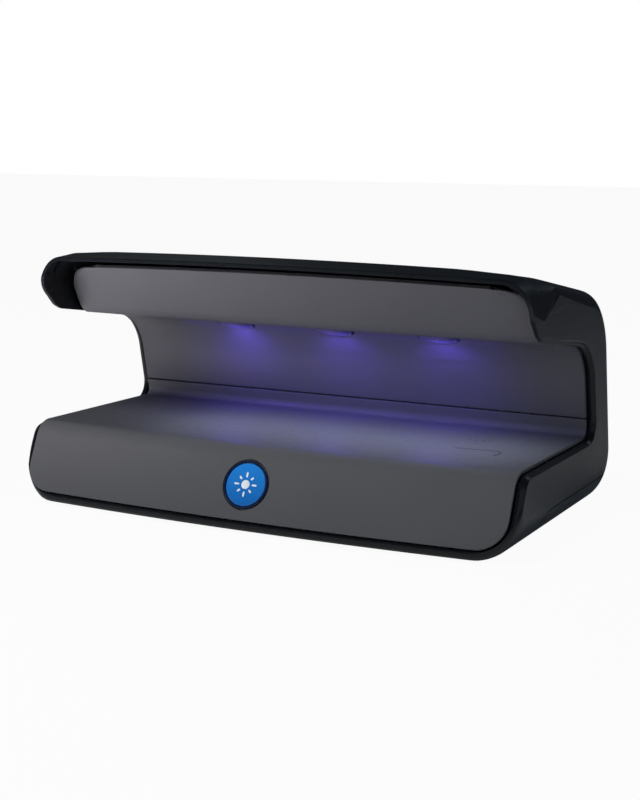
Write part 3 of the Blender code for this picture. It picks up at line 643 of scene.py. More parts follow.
def badge_blue_mat():
    """Glossy blue, a little lighter towards the top of the badge."""
    mat = Surface("badge_blue")
    shade = mat.span(mat.axis_coords(BADGE_AT, BADGE_ROT)[1],
                     to=(0.0, 1.0), over=(-0.006, 0.006))
    grain = mat.noise(mat.coords(), scale=2200.0, detail=2.0)
    colour = mat.ramp(shade, (0.0, (0.008, 0.130, 0.440)), (1.0, (0.016, 0.210, 0.640)))
    fleck = mat.ramp(grain, (0.3, (0.008, 0.11, 0.36)), (0.7, (0.03, 0.26, 0.75)))
    return mat.set({"Base Color": mat.mix(0.10, colour, fleck), "Roughness": 0.30,
                    "Coat Weight": 0.7, "Coat Roughness": 0.12,
                    "Normal": mat.bump(grain, strength=0.12, distance=0.00001)})


def floor_mat():
    """Pale floor, which the camera sees as almost pure white light."""
    mat = Surface("floor")
    cloud = mat.noise(mat.coords(), scale=3.0, detail=2.0)
    mat.set({"Base Color": mat.ramp(cloud, (0.3, (0.86, 0.86, 0.865)),
                                    (0.7, (0.88, 0.88, 0.885))),
             "Roughness": 0.7, "Specular IOR Level": 0.2})
    glow = mat.node("Emission", {"Color": (1.0, 1.0, 1.0)})
    seen = mat.node("LightPath").outputs["Is Camera Ray"]
    both = mat.node("MixShader", {0: mat.math('MULTIPLY', seen, 0.95),
                                  1: mat.bsdf.outputs[0], 2: glow.outputs[0]})
    mat.feed(mat.output, {"Surface": both.outputs[0]})
    return mat.material


# ------------------------------------------------------------- housing sections
def extend(start, end, z):
    """Point at height z on the line through start and end."""
    part = (z - start[1]) / (end[1] - start[1])
    return (start[0] + (end[0] - start[0]) * part, z)


# (y, z) corners, from the bottom front back along the platform, forward under the
# hood, over the nose and back over the top
OUTER = [extend(PLATFORM_EDGE, FASCIA_LOW, BOTTOM_Z),
         PLATFORM_EDGE, PLATFORM_BACK, THROAT_TOP, HOOD_LOW,
         NOSE_BOTTOM, RIM_TOP, COLLAR_TOP, REAR_TOP, REAR_BOTTOM]
NOSE_ARC = fillet(HOOD_LOW, NOSE_BOTTOM, RIM_TOP, NOSE_R, 12)
ARC_N = len(NOSE_ARC)

# Final corners: the first five, the nose's arc, then rim face, collar, flare behind
# it, rear top and rear bottom.
OUTER_R = ([2.0, PLATFORM_EDGE_R, PLATFORM_BACK_R, THROAT_R, 15.0] + [0.0] * ARC_N
           + [0.4, 0.8, 6.0, 29.0, 18.0])
OUTER_SEG = [6, 12, 8, 20, 8] + [0] * ARC_N + [3, 4, 6, 26, 20]
CONVEX = [1, 1, -1, -1] + [1] * (ARC_N + 6)
RIM_CORNERS = range(len(OUTER_R) - 5, len(OUTER_R) - 2)

# Where the corners from hood to flare go in two stages, outside FACE_X and COLLAR_X.
NOSE_MID = ([(-46.5, 31.2)]
            + [lerp((-50.6, 35.0), (-53.9, 37.4), i / (ARC_N - 1)) for i in range(ARC_N)]
            + [(-54.05, 37.75), (-54.0, 38.1)])
NOSE_END = ([(-31.0, 30.0)]
            + [lerp((-31.4, 33.5), (-32.6, 38.0), i / (ARC_N - 1)) for i in range(ARC_N)]
            + [(-36.0, 41.5), (-39.5, 43.8)])
FLARE, FLARE_END, FLARE_R = (-41.0, 48.9), (-43.5, 44.9), 5.0

# corner: pieces of the straight run that follows it
CORNER_RUNS = {0: 4, 1: 12, 2: 5, 3: 10, 4: 3, -6: 3, -5: 4, -4: 3, -3: 12, -2: 8, -1: 16}
CORNER_END = [sum(seg + 1 for seg in OUTER_SEG[:i + 1]) - 1 for i in range(len(OUTER_SEG))]
OUTER_RUNS = {CORNER_END[corner]: pieces for corner, pieces in CORNER_RUNS.items()}


def nose_arc(height):
    """The nose's arc, cut off where the rim face's upper edge drops into it."""
    centre_y, centre_z = NOSE_ARC[-1][0] + NOSE_R, NOSE_ARC[-1][1]
    start = math.atan2(NOSE_ARC[0][1] - centre_z, NOSE_ARC[0][0] - centre_y)
    end = -math.pi + math.asin(max(0.0, centre_z - height) / NOSE_R)
    angles = [start + (end - start) * i / (ARC_N - 1) for i in range(ARC_N)]
    return [(centre_y + NOSE_R * math.cos(angle), centre_z + NOSE_R * math.sin(angle))
            for angle in angles]


def outer_section(x):
    side = abs(x)
    step = max(0.0, min(1.0, (side - STEP_X) / (HALF_W - STEP_X)))
    throat = RIM_OFF + (RIM_OFF_END - RIM_OFF) * step
    under = UNDER_OFF + (RIM_OFF_END - UNDER_OFF) * step
    top = end_drop(side, TOP_R, HALF_W)
    rear = end_drop(side, REAR_R, HALF_W)
    low = end_drop(side, BOTTOM_R, HALF_W)
    front_insets = [throat, throat, throat, under, 0.0]
    points = shifted(OUTER, front_insets + [0.0, 0.0, top, rear, low])

    # the rim face and the collar behind it have their own corner radii, and the
    # face draws back a little towards the sides
    back = 1.6 * smooth(side, 72.0, 86.5)
    height = RIM_TOP[1] - end_drop(side, FACE_R, FACE_X)
    nose = nose_arc(height)
    face = (nose[-1][0] + back, max(height, nose[-1][1]) + 0.06)
    drop = end_drop(side, COLLAR_R, COLLAR_X)
    collar = (COLLAR_TOP[0], COLLAR_TOP[1] - 0.6 * smooth(side, 60.0, 80.0) - drop)
    nose = [(y + back, z) for y, z in nose]

    to_mid = max(0.0, min(1.0, (side - FACE_X) / (COLLAR_X - FACE_X)))
    to_end = max(0.0, min(1.0, (side - COLLAR_X) / (HALF_W - COLLAR_X)))
    moved = [lerp(lerp(point, mid, to_mid), end, to_end)
             for point, mid, end in zip([points[4]] + nose + [face, collar],
                                        NOSE_MID, NOSE_END)]
    flare = lerp((FLARE[0], FLARE[1] - max(top, 0.38 * drop)), FLARE_END, to_end)
    points = points[:4] + moved + [flare] + points[8:]

    insets = front_insets + [0.0] * (ARC_N + 1) + [top, top, rear, low]
    radii = []
    for i, radius in enumerate(OUTER_R):
        if i in RIM_CORNERS:
            radius += (FLARE_R - radius) * to_end
        elif i == 0:
            radius += 1.6 * smooth(side, 74.0, HALF_W)
        else:
            radius -= CONVEX[i] * (insets[i - 1] + insets[i]) / 2
        radii.append(max(0.4, radius))
    return split_runs(rounded(points, radii, OUTER_SEG), OUTER_RUNS)


# close stations where the rim, the face and the collar end
OUTER_XS = mirrored([5.5 * k for k in range(14)] + arc_stations(HALF_W, REAR_R)
                    + [78.6, 79.6, 81.8, 83.0, 83.8, 84.5, 85.2, 85.6, RIM_X, 86.15,
                       86.6, STEP_X, FACE_X, 87.4, 87.6, 87.8, 87.95, COLLAR_X,
                       88.15, 88.2])

# (y, z), radius, segments: the inside, open far out to the front
CAVITY = [((-110.0, -27.6), 0.4, 1), ((-110.0, 48.3), 0.4, 1), ((-58.5, 48.3), 0.3, 2),
          ((-56.5, 49.2), 0.5, 2), ((16.2, 36.2), 26.0, 16), ((31.3, -28.2), 15.4, 12)]
CAVITY_POINTS, CAVITY_R, CAVITY_SEG = zip(*CAVITY)


def cavity_section(x):
    side = abs(x)
    top = end_drop(side, OPEN_TOP_R, RIM_X)
    rear = end_drop(side, OPEN_REAR_R, RIM_X)
    low = end_drop(side, OPEN_LOW_R, RIM_X)
    insets = [0.0, top, top, top, rear, low]
    radii = [max(0.4, radius - (insets[i - 1] + insets[i]) / 2)
             for i, radius in enumerate(CAVITY_R)]
    return rounded(shifted(CAVITY_POINTS, insets), radii, CAVITY_SEG)


CAVITY_XS = mirrored([6.0 * k for k in range(13)] + arc_stations(RIM_X, OPEN_REAR_R))


def base_prism(name, gap):
    """The space of the base, grown by gap at the joint."""
    z = PART_Z + gap
    front = -42.5 - gap
    below = BOTTOM_Z - 6
    points = [(70.0, z), (70.0, below), (front - 9.5, below),
              (front - 6.5, -24.5 + gap), (front, z)]
    points = rounded(points, [0.4, 0.4, 0.4, 6.0, 8.0], [1, 1, 1, 10, 10])[::-1]
    return loft(name, [-120.0, 120.0], lambda x: points, pos=straight)


def foot_recesses(row):
    return [peg("t_foot_" + tag, FOOT_RECESS_R, 0.6, -3, (x, y, FOOT_H))
            for x, y, tag in FEET if tag.startswith(row)]


# ------------------------------------------------------------------ upper shell
shell = loft("housing_shell", OUTER_XS, outer_section)
cavity = loft("t_cavity", CAVITY_XS, cavity_section)
cutters = [base_prism("t_part_u", PART_GAP / 2)] + foot_recesses("front")
cutters.append(peg("t_jack", 4.5, 6, -8, rear_at(JACK_X), WALL_ROT))
cutters.append(block("t_switch", (14.0, 9.8, 20.0), rear_at(SWITCH_X), WALL_ROT))
cut(shell, [cavity], keep=True)
cut(shell, cutters)
finish_mesh(shell, 32.0)
# the collar runs softly into the flat side faces at the hood's two ends
for edge in shell.data.edges:
    first, second = (shell.data.vertices[i].co for i in edge.vertices)
    mid = (first + second) / 2
    if (abs(mid.x) > 86.6 * MM and (CREASE_Y - 49.0) * MM < mid.y < (CREASE_Y - 18.0) * MM
            and mid.z > (CREASE_Z + 33.5) * MM):
        edge.use_edge_sharp = False
shell_plastic = moulded("shell_plastic", rgb=(0.0046, 0.0056, 0.0072), rough=0.32,
                        grain=0.26, spec=0.36, strength=0.12, wear=0.06,
                        depth=0.000001, vary=0.010)
register(shell, shell_plastic, node="upper_shell")

# ------------------------------------------------------------------- base plate
base = loft("base_cover", OUTER_XS, outer_section)
cut(base, [base_prism("t_part_l", -PART_GAP / 2)], 'INTERSECT')
cut(base, [cavity])
# stepped screw holes, (radius, height above the underside)
SCREW_HOLE = [(0, 9), (1.9, 9), (1.9, 1.6), (3.4, 1.6), (3.4, 0.25), (3.7, -0.05),
              (3.7, -3), (0, -3)]
cut(base, foot_recesses("rear")
    + [turned("t_screw_" + tag, SCREW_HOLE, (x, y, FOOT_H), steps=48)
       for x, y, tag in SCREWS])
base_plastic = moulded("base_plastic", rgb=(0.0052, 0.0062, 0.0078), rough=0.36,
                       grain=0.42, mottle=0.12, spec=0.45, strength=0.15, wear=0.12,
                       depth=0.000003, vary=0.015)
piece(base, base_plastic, node="base_plate", angle=32.0)


# ----------------------------------------------------------------------- liners
def liner_mat(name, rgb):
    return moulded(name, rgb=rgb, rough=0.46, grain=0.32, mottle=0.05, spec=0.42,
                   metal=0.10, strength=0.22, wear=0.10)


def liner_row(point, half=LINER_X):
    return lambda column: (column * half, *point)


def hood_row(point):
    """Row of the hood's liner, drawn in at the upper corners and set back at the
    ends."""
    y, z = point
    rise = min(1.0, max(0.0, (z - HOOD_CORNER_Z) / (SLOPE_TOP[1] - HOOD_CORNER_Z)))
    half = LINER_X - HOOD_CORNER_R * (1.0 - math.sqrt(1.0 - rise * rise))
    depth = (2.6 + 1.6 * smooth(z, 36.0, 42.0))
    fade = smooth(-y, 22.0, 38.0)

    def row(column):
        over = max(0.0, abs(column * LINER_X) - (LINER_X - HOOD_END_R)) / HOOD_END_R
        turn = 1.0 - math.sqrt(max(0.0, 1.0 - over * over))
        back = depth * turn * fade
        return column * half, y + back, z - 0.153 * back
    return row


upper_points = rounded([SLOPE_TOP, LIP, THROAT_TOP, (-0.06, 0.25)],
                       [0, LIP_R, THROAT_R, 0], [0, 16, 30, 0], closed=False)
# close rows down the slope, where the hood's upper corners turn
upper_points[1:1] = [lerp(SLOPE_TOP, LIP, (SLOPE_TOP[1] - HOOD_CORNER_Z)
                          * (1.0 - math.sin(math.radians(deg))) / (SLOPE_TOP[1] - LIP[1]))
                     for deg in range(84, -1, -7)]
UPPER_COLUMNS = [x / LINER_X for x in mirrored(arc_stations(LINER_X, HOOD_END_R)
                                               + [3.4 * k for k in range(23)])]
upper = grid_shell("hood_liner", [hood_row(point) for point in densify(upper_points, 2.5)],
                   UPPER_COLUMNS, UPPER_T)
cut(upper, [peg("t_window_" + side, LENS_R + 0.4, 9, -6, window_at(x), LED_ROT, steps=96)
            for side, x in SIDES])
bevel_sharp(upper, width=0.25, min_deg=38.0, seg=3)
piece(upper, liner_mat("upper_liner_plastic", (0.098, 0.098, 0.106)),
      node="upper_liner", angle=32.0)

lower_points = densify(rounded([(0.06, -0.25), PLATFORM_BACK, PLATFORM_EDGE, FASCIA_LOW],
                               [0, PLATFORM_BACK_R, PLATFORM_EDGE_R, 0], [0, 10, 16, 0],
                               closed=False), 3.0)
lower_rows = [liner_row(point) for point in lower_points
              if point[1] >= -7 or math.hypot(*sub(FASCIA_LOW, point)) >= LOW_R + 0.4]
for deg in range(0, 91, 6):
    up = LOW_R * (1 - math.sin(math.radians(deg)))
    half = LINER_X - LOW_R * (1 - math.cos(math.radians(deg)))
    lower_rows.append(liner_row((FASCIA_LOW[0] - FASCIA_WAY[0] * up,
                                 FASCIA_LOW[1] - FASCIA_WAY[1] * up), half))
LOWER_COLUMNS = [x / LINER_X for x in mirrored([4.4 * k for k in range(20)] + [LINER_X])]
lower = grid_shell("platform_liner", lower_rows, LOWER_COLUMNS, LOWER_T)
cut(lower, [peg("t_badge", BADGE_R + 0.45, 5, -0.85, BADGE_AT, BADGE_ROT, steps=128)])
bevel_sharp(lower, width=0.25, min_deg=38.0, seg=3)
piece(lower, liner_mat("lower_liner_plastic", (0.100, 0.100, 0.107)),
      node="lower_liner", angle=32.0)

# ---------------------------------------------------------------- lamp windows
# (radius, height): a rimmed disc with a shallow dome towards the throat
LENS_PROFILE = [(0, 2.9), (LENS_R - 0.25, 2.9), (LENS_R, 2.65), (LENS_R, 0.45),
                (LENS_R - 0.12, 0.18), (LENS_R - 0.42, 0.0), (LENS_R - 0.75, 0.02),
                (LENS_R - 0.95, 0.16), (LENS_R - 1.15, 0.10)]
LENS_PROFILE += [((LENS_R - 1.2) * math.cos(math.radians(deg)),
                  -0.66 * math.sin(math.radians(deg)) + 0.05) for deg in range(5, 86, 8)]
LENS_PROFILE += [(0, -0.62)]
for side, x in SIDES:
    centre = window_at(x)
    lens = turned("uv_window_" + side, LENS_PROFILE, centre, LED_ROT, steps=96)
    piece(lens, lens_mat("uv_window_" + side, centre),
          node="uv_lens_" + side, angle=50)
    paint(NODES["uv_led_" + side], led_mat("uv_led_" + side, centre))

# ------------------------------------------------------------------------ badge
BEZEL_PROFILE = [(BADGE_R, -0.5), (BADGE_R - 0.42, -0.5), (BADGE_R - 0.42, 0.22),
                 (BADGE_R - 0.38, 0.28), (BADGE_R - 0.32, 0.30), (BADGE_R - 0.18, 0.30),
                 (BADGE_R - 0.08, 0.27), (BADGE_R - 0.02, 0.21), (BADGE_R, 0.12),
                 (BADGE_R, -0.5)]
navy = moulded("badge_navy", rgb=(0.006, 0.014, 0.060), rough=0.26, grain=0.2,
               depth=0.00001, mottle=0.12, spec=0.55, strength=0.15)
piece(turned("badge_bezel", BEZEL_PROFILE, BADGE_AT, BADGE_ROT, steps=128), navy,
      node="badge_ring", angle=50)

DISC_PROFILE = [(0, 0.16), (DISC_R * 0.5, 0.15), (DISC_R - 0.5, 0.12),
                (DISC_R - 0.18, 0.09), (DISC_R - 0.04, 0.02), (DISC_R, -0.08),
                (DISC_R, -0.5), (0, -0.5)]
piece(turned("badge_face", DISC_PROFILE, BADGE_AT, BADGE_ROT, steps=128),
      badge_blue_mat(), node="badge_disc", angle=50)

# a plain lamp sign: a disc with eight short rays, every other one shorter
RAY_START, RAY_HALF_W, RAY_ENDS = 2.25, 0.30, (3.95, 3.45)
sign_white = moulded("sign_white", rgb=(0.80, 0.83, 0.86), rough=0.35, grain=0.15,
                     depth=0.00001, mottle=0.03, strength=0.1, wear=0.0)
sign = [turned("s0", [(0, 0.24), (1.35, 0.24), (1.42, 0.2), (1.42, 0.1), (0, 0.1)],
               BADGE_AT, BADGE_ROT)]
for k in range(8):
    end = RAY_ENDS[k % 2]
    ray = rounded([(RAY_START, -RAY_HALF_W), (end, -RAY_HALF_W), (end, RAY_HALF_W),
                   (RAY_START, RAY_HALF_W)], [0.27] * 4, [5] * 4)
    cos, sin = math.cos(math.radians(45 * k)), math.sin(math.radians(45 * k))
    ray = [(x * cos - y * sin, x * sin + y * cos) for x, y in ray]
    sign.append(plate("s%d" % (k + 1), ray, 0.05, 0.23, BADGE_AT, BADGE_ROT))
piece(join("badge_sign", sign), sign_white, angle=40)


# --------------------------------------------------------- marks on the platform
def on_platform(name, outline):
    """Thin printed shape lying on the platform; outline in (x, y) of the crease."""
    mesh = bmesh.new()
    lower_ring, upper_ring = [], []
    for x, y in outline:
        part = (y - PLATFORM_EDGE[0]) / (PLATFORM_BACK[0] - PLATFORM_EDGE[0])
        z = PLATFORM_EDGE[1] + (PLATFORM_BACK[1] - PLATFORM_EDGE[1]) * part
        lower_ring.append(mesh.verts.new(place(x, y, z - 0.15)))
        upper_ring.append(mesh.verts.new(place(x, y, z + 0.03)))
    skin(mesh, [lower_ring, upper_ring], flip=True)
    return from_bmesh(name, mesh)


def dot(centre_x, centre_y, radius, steps=20):
    return [(centre_x + radius * math.cos(2 * math.pi * k / steps),
             centre_y + radius * math.sin(2 * math.pi * k / steps)) for k in range(steps)]


def stroke(points, width):
    """Outline of a thin line through points, with butt ends."""
    left, right = [], []
    for i, (x, y) in enumerate(points):
        way = unit(sub(points[min(len(points) - 1, i + 1)], points[max(0, i - 1)]))
        left.append((x - way[1] * width / 2, y + way[0] * width / 2))
        right.append((x + way[1] * width / 2, y - way[0] * width / 2))
    return left + right[::-1]


LINE_START, LINE_CORNER, LINE_END = (55.0, -37.5), (71.0, -36.6), (70.4, -44.0)
marks = [on_platform("p%d" % k, dot(54.2 + 2.3 * k, -23.5, 0.45)) for k in range(4)]
line = [LINE_START] + fillet(LINE_START, LINE_CORNER, LINE_END, 3.0, 10) + [LINE_END]
marks.append(on_platform("p9", stroke(line, 0.55)))
print_ink = moulded("platform_print", rgb=(0.030, 0.030, 0.040), rough=0.55, grain=0.2,
                    depth=0.00001, mottle=0.05, strength=0.1, wear=0.0)
piece(join("platform_print", marks), print_ink, angle=40)

# ------------------------------------------------------------- feet and screws
rubber = moulded("foot_rubber", rgb=(0.016, 0.016, 0.017), rough=0.80, grain=0.5,
                 depth=0.00004, mottle=0.15, spec=0.3, strength=0.5, wear=0.35)
FOOT_PROFILE = [(0, FOOT_H + 0.3), (5.3, FOOT_H + 0.3), (5.5, FOOT_H + 0.1), (5.5, 0.62),
                (5.42, 0.32), (5.2, 0.1), (4.9, 0.0), (3.9, 0.0), (3.7, 0.08),
                (3.55, 0.25), (3.2, 0.32), (0, 0.34)]
for x, y, tag in FEET:
    piece(turned("foot_pad_" + tag, FOOT_PROFILE, (x, y, 0), steps=72), rubber,
          node="foot_" + tag, angle=50)

# screw, from its tip down through the thread to the head
SHANK_R, THREAD_DEPTH, THREAD_PITCH = 1.5, 0.32, 0.62
SCREW_PROFILE = [(0, FOOT_H + 9.0), (1.2, FOOT_H + 9.0), (SHANK_R, FOOT_H + 8.6)]
z = FOOT_H + 8.2
while z > FOOT_H + 1.8:
    SCREW_PROFILE += [(SHANK_R, z), (SHANK_R - THREAD_DEPTH, z - 0.22), (SHANK_R, z - 0.44)]
    z -= THREAD_PITCH
SCREW_PROFILE += [(radius, FOOT_H + up) for radius, up in (
    (SHANK_R, 1.3), (SHANK_R, 1.25), (2.9, 1.25), (3.0, 1.15), (3.0, 0.8), (2.9, 0.6),
    (2.6, 0.4), (1.8, 0.3), (0, 0.28))]
steel = metal_mat("screw_steel", rgb=(0.52, 0.52, 0.54), rough=0.30)
for x, y, tag in SCREWS:
    screw = turned("housing_screw_" + tag, SCREW_PROFILE, (x, y, 0), steps=48)
    cut(screw, [block("t_c%d" % k, (3.0, 0.72, 1.5), (x, y, FOOT_H + 0.55),
                      Matrix.Rotation(math.radians(90 * k + 18), 4, 'Z'), bevel=0.1, seg=2)
                for k in range(2)])
    piece(screw, steel, node="base_screw_" + tag, angle=35)

# ------------------------------------------------------- power inlet and switch
nylon = moulded("inlet_nylon", rgb=(0.0095, 0.0095, 0.0105), rough=0.38, grain=0.25,
                depth=0.00002, strength=0.25)
# (radius, height out of the rear wall)
SOCKET_PROFILE = [(2.8, 0.75), (2.95, 0.9), (5.35, 0.9), (5.52, 0.82), (5.6, 0.65),
                  (5.6, 0.35), (4.1, 0.35), (4.1, -11.0), (0.0, -11.0), (0.0, -9.0),
                  (2.8, -9.0), (2.8, 0.75)]
PIN_PROFILE = [(0, -1.25), (0.45, -1.35), (0.8, -1.7), (1.0, -2.3), (1.0, -8.7), (0, -8.7)]
piece(turned("inlet_socket", SOCKET_PROFILE, rear_at(JACK_X), WALL_ROT, steps=72), nylon,
      node="power_jack", angle=35)
piece(turned("inlet_pin", PIN_PROFILE, rear_at(JACK_X), WALL_ROT, steps=40),
      metal_mat("pin_nickel", rgb=(0.66, 0.63, 0.55), rough=0.22),
      node="jack_pin", angle=45)

bezel = block("switch_bezel", (17.0, 12.6, 1.5), rear_at(SWITCH_X, 1.1), WALL_ROT,
              bevel=0.55, seg=4)
cut(bezel, [block("t_body", (13.2, 9.0, 11.0), rear_at(SWITCH_X, -4.6), WALL_ROT)], 'UNION')
cut(bezel, [block("t_well", (11.4, 7.2, 11.6), rear_at(SWITCH_X, -2.6), WALL_ROT)])
bevel_sharp(bezel, width=0.18, min_deg=60.0, seg=2)
piece(bezel, nylon, node="switch_frame", angle=35)

# rocker, drawn from its pivot: X along it, Z out of the wall
ROCKER_TILT = math.radians(9.0)
ROCKER_HALF, ROCKER_HALF_W, ROCKER_OUT = 5.3, 3.2, -1.6
ROCKER_END, ROCKER_MID_H = ROCKER_HALF * 0.98, 2.9
ROCKER_RISE = ROCKER_HALF * math.tan(ROCKER_TILT)
ROCKER_POSE = (Matrix.Translation(rear_at(SWITCH_X, ROCKER_OUT) * MM) @ WALL_ROT
               @ Matrix.Rotation(ROCKER_TILT, 4, 'Y'))


def rocker_top(x):
    """Height of the dished top."""
    return ROCKER_MID_H + ROCKER_RISE * (abs(x) / ROCKER_END) ** 1.35


half_outline = [(x, rocker_top(x)) for x in (ROCKER_END * k / 12 for k in range(13))]
half_outline += [(ROCKER_HALF * math.cos(math.radians(deg)),
                  ROCKER_HALF * math.sin(math.radians(deg))) for deg in range(30, -91, -5)]
outline = half_outline + [(-x, z) for x, z in reversed(half_outline[1:])]
mesh = bmesh.new()
skin(mesh, [[mesh.verts.new((x * MM, y * MM, z * MM)) for x, z in outline]
            for y in (-ROCKER_HALF_W, ROCKER_HALF_W)])
bmesh.ops.remove_doubles(mesh, verts=mesh.verts, dist=1e-7)
rocker = from_bmesh("switch_rocker", mesh)
rocker.data.transform(ROCKER_POSE)
bevel_sharp(rocker, width=0.28, min_deg=60.0, seg=3)
rocker_plastic = moulded("rocker_plastic", rgb=(0.0080, 0.0080, 0.0090), rough=0.24,
                         grain=0.25, depth=0.00001, spec=0.55, strength=0.12)
piece(rocker, rocker_plastic, node="power_rocker", rides="rocker",
      angle=35)

# the usual signs for on (a bar) and off (a ring), printed on the rocker's ends
SIGN_X = 3.2
on_bar = plate("t_on", rounded([(-3.45, -0.9), (-3.1, -0.9), (-3.1, 0.9), (-3.45, 0.9)],
                               [0.12] * 4, [3] * 4),
               rocker_top(SIGN_X) - 0.08, rocker_top(3.3) + 0.035)
RING_IN, RING_OUT, RING_EDGE = 0.62, 0.95, 0.05
ring_low, ring_top = rocker_top(SIGN_X) - 0.25, rocker_top(SIGN_X) + 0.16
off_ring = turned("t_off", [(RING_OUT, ring_low), (RING_IN, ring_low),
                            (RING_IN, ring_top - RING_EDGE),
                            (RING_IN + RING_EDGE, ring_top),
                            (RING_OUT - RING_EDGE, ring_top),
                            (RING_OUT, ring_top - RING_EDGE), (RING_OUT, ring_low)],
                  (SIGN_X, 0, 0), steps=72)
signs = join("rocker_signs", [on_bar, off_ring])
signs.data.transform(ROCKER_POSE)
piece(signs, sign_white, rides="rocker", angle=40)


# ------------------------------------------------- materials of the inside pieces
def wire_mat(name, rgb, rough):
    return moulded(name, rgb=rgb, rough=rough, grain=0.4, depth=0.00001, strength=0.2,
                   wear=0.05)


INSIDE = [
    (board_mat("board_mask"), ("led_board", "control_board")),
    (metal_mat("spreader_aluminium", rgb=(0.72, 0.73, 0.74), rough=0.34,
               brushed=(60.0, 5000.0, 5000.0)), ("led_heat_spreader",)),
    (metal_mat("zinc_steel", rgb=(0.58, 0.58, 0.57), rough=0.28,
               brushed=(3000.0, 3000.0, 300.0)),
     ("led_board_screw_left", "led_board_screw_right", "board_screw_left",
      "board_screw_right", "board_standoff_left", "board_standoff_right", "jack_nut")),
    (moulded("ferrite", rgb=(0.030, 0.030, 0.033), rough=0.55, grain=0.3, depth=0.00004,
             mottle=0.2, strength=0.5), ("driver_inductor",)),
    (moulded("epoxy", rgb=(0.016, 0.016, 0.018), rough=0.42, grain=0.15, depth=0.00002,
             strength=0.4), ("driver_chip",)),
    (moulded("sleeve", rgb=(0.045, 0.055, 0.16), rough=0.28, grain=0.4, depth=0.00001,
             strength=0.15), ("driver_capacitor",)),
    (wire_mat("wire_red", (0.42, 0.016, 0.014), rough=0.40),
     ("led_wire_red", "jack_wire_red")),
    (wire_mat("wire_black", (0.014, 0.014, 0.015), rough=0.42),
     ("led_wire_black", "jack_wire_black")),
]
for material, names in INSIDE:
    for name in names:
        paint(NODES[name], material)

# -------------------------------------------------------------- floor and world
mesh = bmesh.new()
bmesh.ops.create_grid(mesh, x_segments=2, y_segments=2, size=4.0)
ground = from_bmesh("floor", mesh, fix=False)
ground.data.materials.append(floor_mat())

# white to the camera, dim and bluish as light
world = bpy.data.worlds.new("studio")
SCENE.world = world
sky = Nodes(world)
sky_output = sky.node("OutputWorld")
camera_ray = sky.node("LightPath").outputs["Is Camera Ray"]
seen = sky.node("Background", {"Color": (1.0, 1.0, 1.0), "Strength": 1.0})
lit = sky.node("Background", {"Color": (0.65, 0.75, 1.0), "Strength": 0.040})
both = sky.node("MixShader", {0: camera_ray, 1: lit.outputs[0], 2: seen.outputs[0]})
sky.feed(sky_output, {"Surface": both.outputs[0]})

# ----------------------------------------------------------------------- lights
# places, targets and sizes in metres
PRODUCT_MID = (0, 0, 0.045)


def aimed(name, data, location, way):
    lamp = bpy.data.objects.new(name, data)
    SCENE.collection.objects.link(lamp)
    lamp.location = location
    lamp.rotation_mode = 'QUATERNION'
    lamp.rotation_quaternion = way.to_track_quat('-Z', 'Y')
    return lamp


def area(name, loc, size, power, target=PRODUCT_MID, spread=180.0, glossy=True):
    """Soft rectangular light; power gives red, green and blue in watts."""
    data = bpy.data.lights.new(name, 'AREA')
    data.shape = 'RECTANGLE'
    data.size, data.size_y = size
    data.energy = max(power)
    data.color = [channel / max(power) for channel in power]
    data.spread = math.radians(spread)
    lamp = aimed(name, data, loc, Vector(target) - Vector(loc))
    lamp.visible_camera = False
    lamp.visible_glossy = glossy


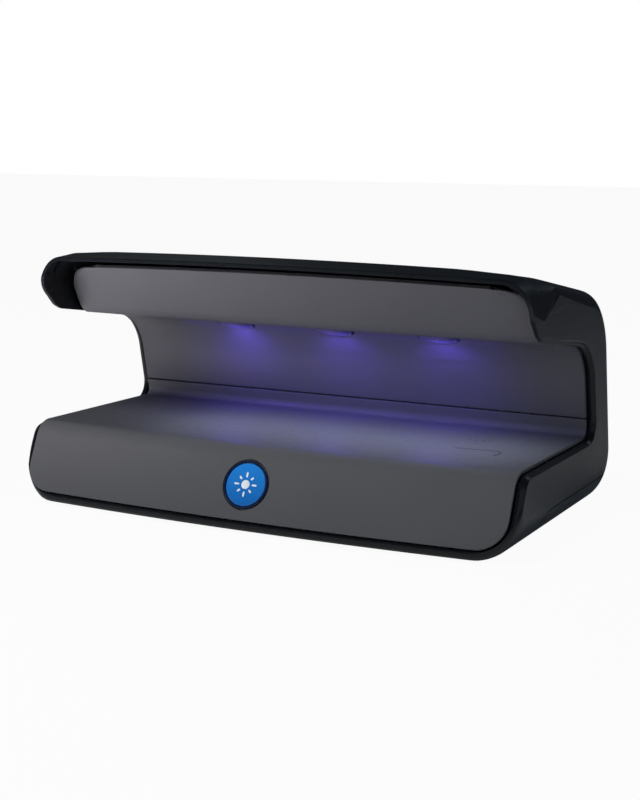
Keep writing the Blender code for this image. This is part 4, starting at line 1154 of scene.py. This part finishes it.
area("key_low_left", loc=(-0.30, -0.30, 0.06), size=(0.10, 0.10),
     power=(0.40, 0.385, 0.41), glossy=False)
area("front_low", loc=(0.10, -0.55, 0.06), size=(0.11, 0.11),
     power=(0.03, 0.03, 0.03), glossy=False)
area("front_high", loc=(-0.08, -0.38, 0.50), size=(0.20, 0.20),
     power=(1.80, 1.86, 1.82), glossy=False)
area("top_rear", loc=(-0.35, 0.25, 0.50), size=(0.40, 0.40), power=(0.12, 0.13, 0.13))
area("right_front", loc=(0.35, -0.40, 0.25), size=(0.20, 0.20),
     power=(0.12, 0.155, 0.175))
area("right_rear", loc=(0.60, 0.35, 0.30), size=(0.40, 0.40), power=(0.15, 0.16, 0.20))
area("corner_glint", loc=(0.45, 0.88, 0.82), size=(0.26, 0.26), power=(0.34, 0.40, 0.44))
area("floor_bounce", loc=(-0.16, -0.22, 0.004), target=(-0.16, -0.22, 1.0),
     size=(0.20, 0.16), power=(1.48, 1.42, 1.50), glossy=False)
area("platform_fill", loc=(0.018, -0.0145, 0.049), target=(0.018, -0.0145, 0.0),
     size=(0.12, 0.035), power=(0.021, 0.023, 0.031), spread=150.0, glossy=False)

# each lamp: (tag, watts, aim, cone in degrees), onto the platform and the throat's rear
UV_SPOTS = (("down", 0.018, (0, -LED_AXIS[0], -LED_AXIS[1]), 150),
            ("wall", 0.056, (0, 0.8, -0.6), 130))
for side, x in SIDES:
    for tag, power, aim, cone in UV_SPOTS:
        name = "uv_%s_%s" % (tag, side)
        spot = bpy.data.lights.new(name, 'SPOT')
        spot.energy = power
        spot.color = (0.15, 0.08, 1.0)
        spot.spot_size = math.radians(cone)
        spot.spot_blend = 1.0
        spot.shadow_soft_size = 0.004
        aimed(name, spot, Vector(window_at(x, -1.2)) * MM, Vector(aim))

strip_at = Vector(window_at(0.0, -1.5)) * MM
area("uv_strip", loc=strip_at, target=strip_at + Vector((0, 0.6, -0.8)),
     size=(0.120, 0.006), power=(0.0014, 0.0008, 0.0110), glossy=False)

# ----------------------------------------------------------------------- camera
CAMERA_AT = (227.207, -471.581, 88.156)   # from the crease, in mm
CAMERA_WAY = (-0.44633, 0.87894, -0.16809)
CAMERA_ROLL = math.radians(0.5645)
camera_data = bpy.data.cameras.new("camera")
camera_data.sensor_width = 36.0
camera_data.lens = 67.76
camera_data.clip_start, camera_data.clip_end = 0.01, 20.0
camera = aimed("camera", camera_data,
               Vector((CAMERA_AT[0], *at(*CAMERA_AT[1:]))) * MM, Vector(CAMERA_WAY))
roll = Matrix.Rotation(CAMERA_ROLL, 4, 'Z').to_quaternion()
camera.rotation_quaternion = Vector(CAMERA_WAY).to_track_quat('-Z', 'Y') @ roll
SCENE.camera = camera
SCENE.view_settings.view_transform = 'Standard'
SCENE.view_settings.look = 'None'
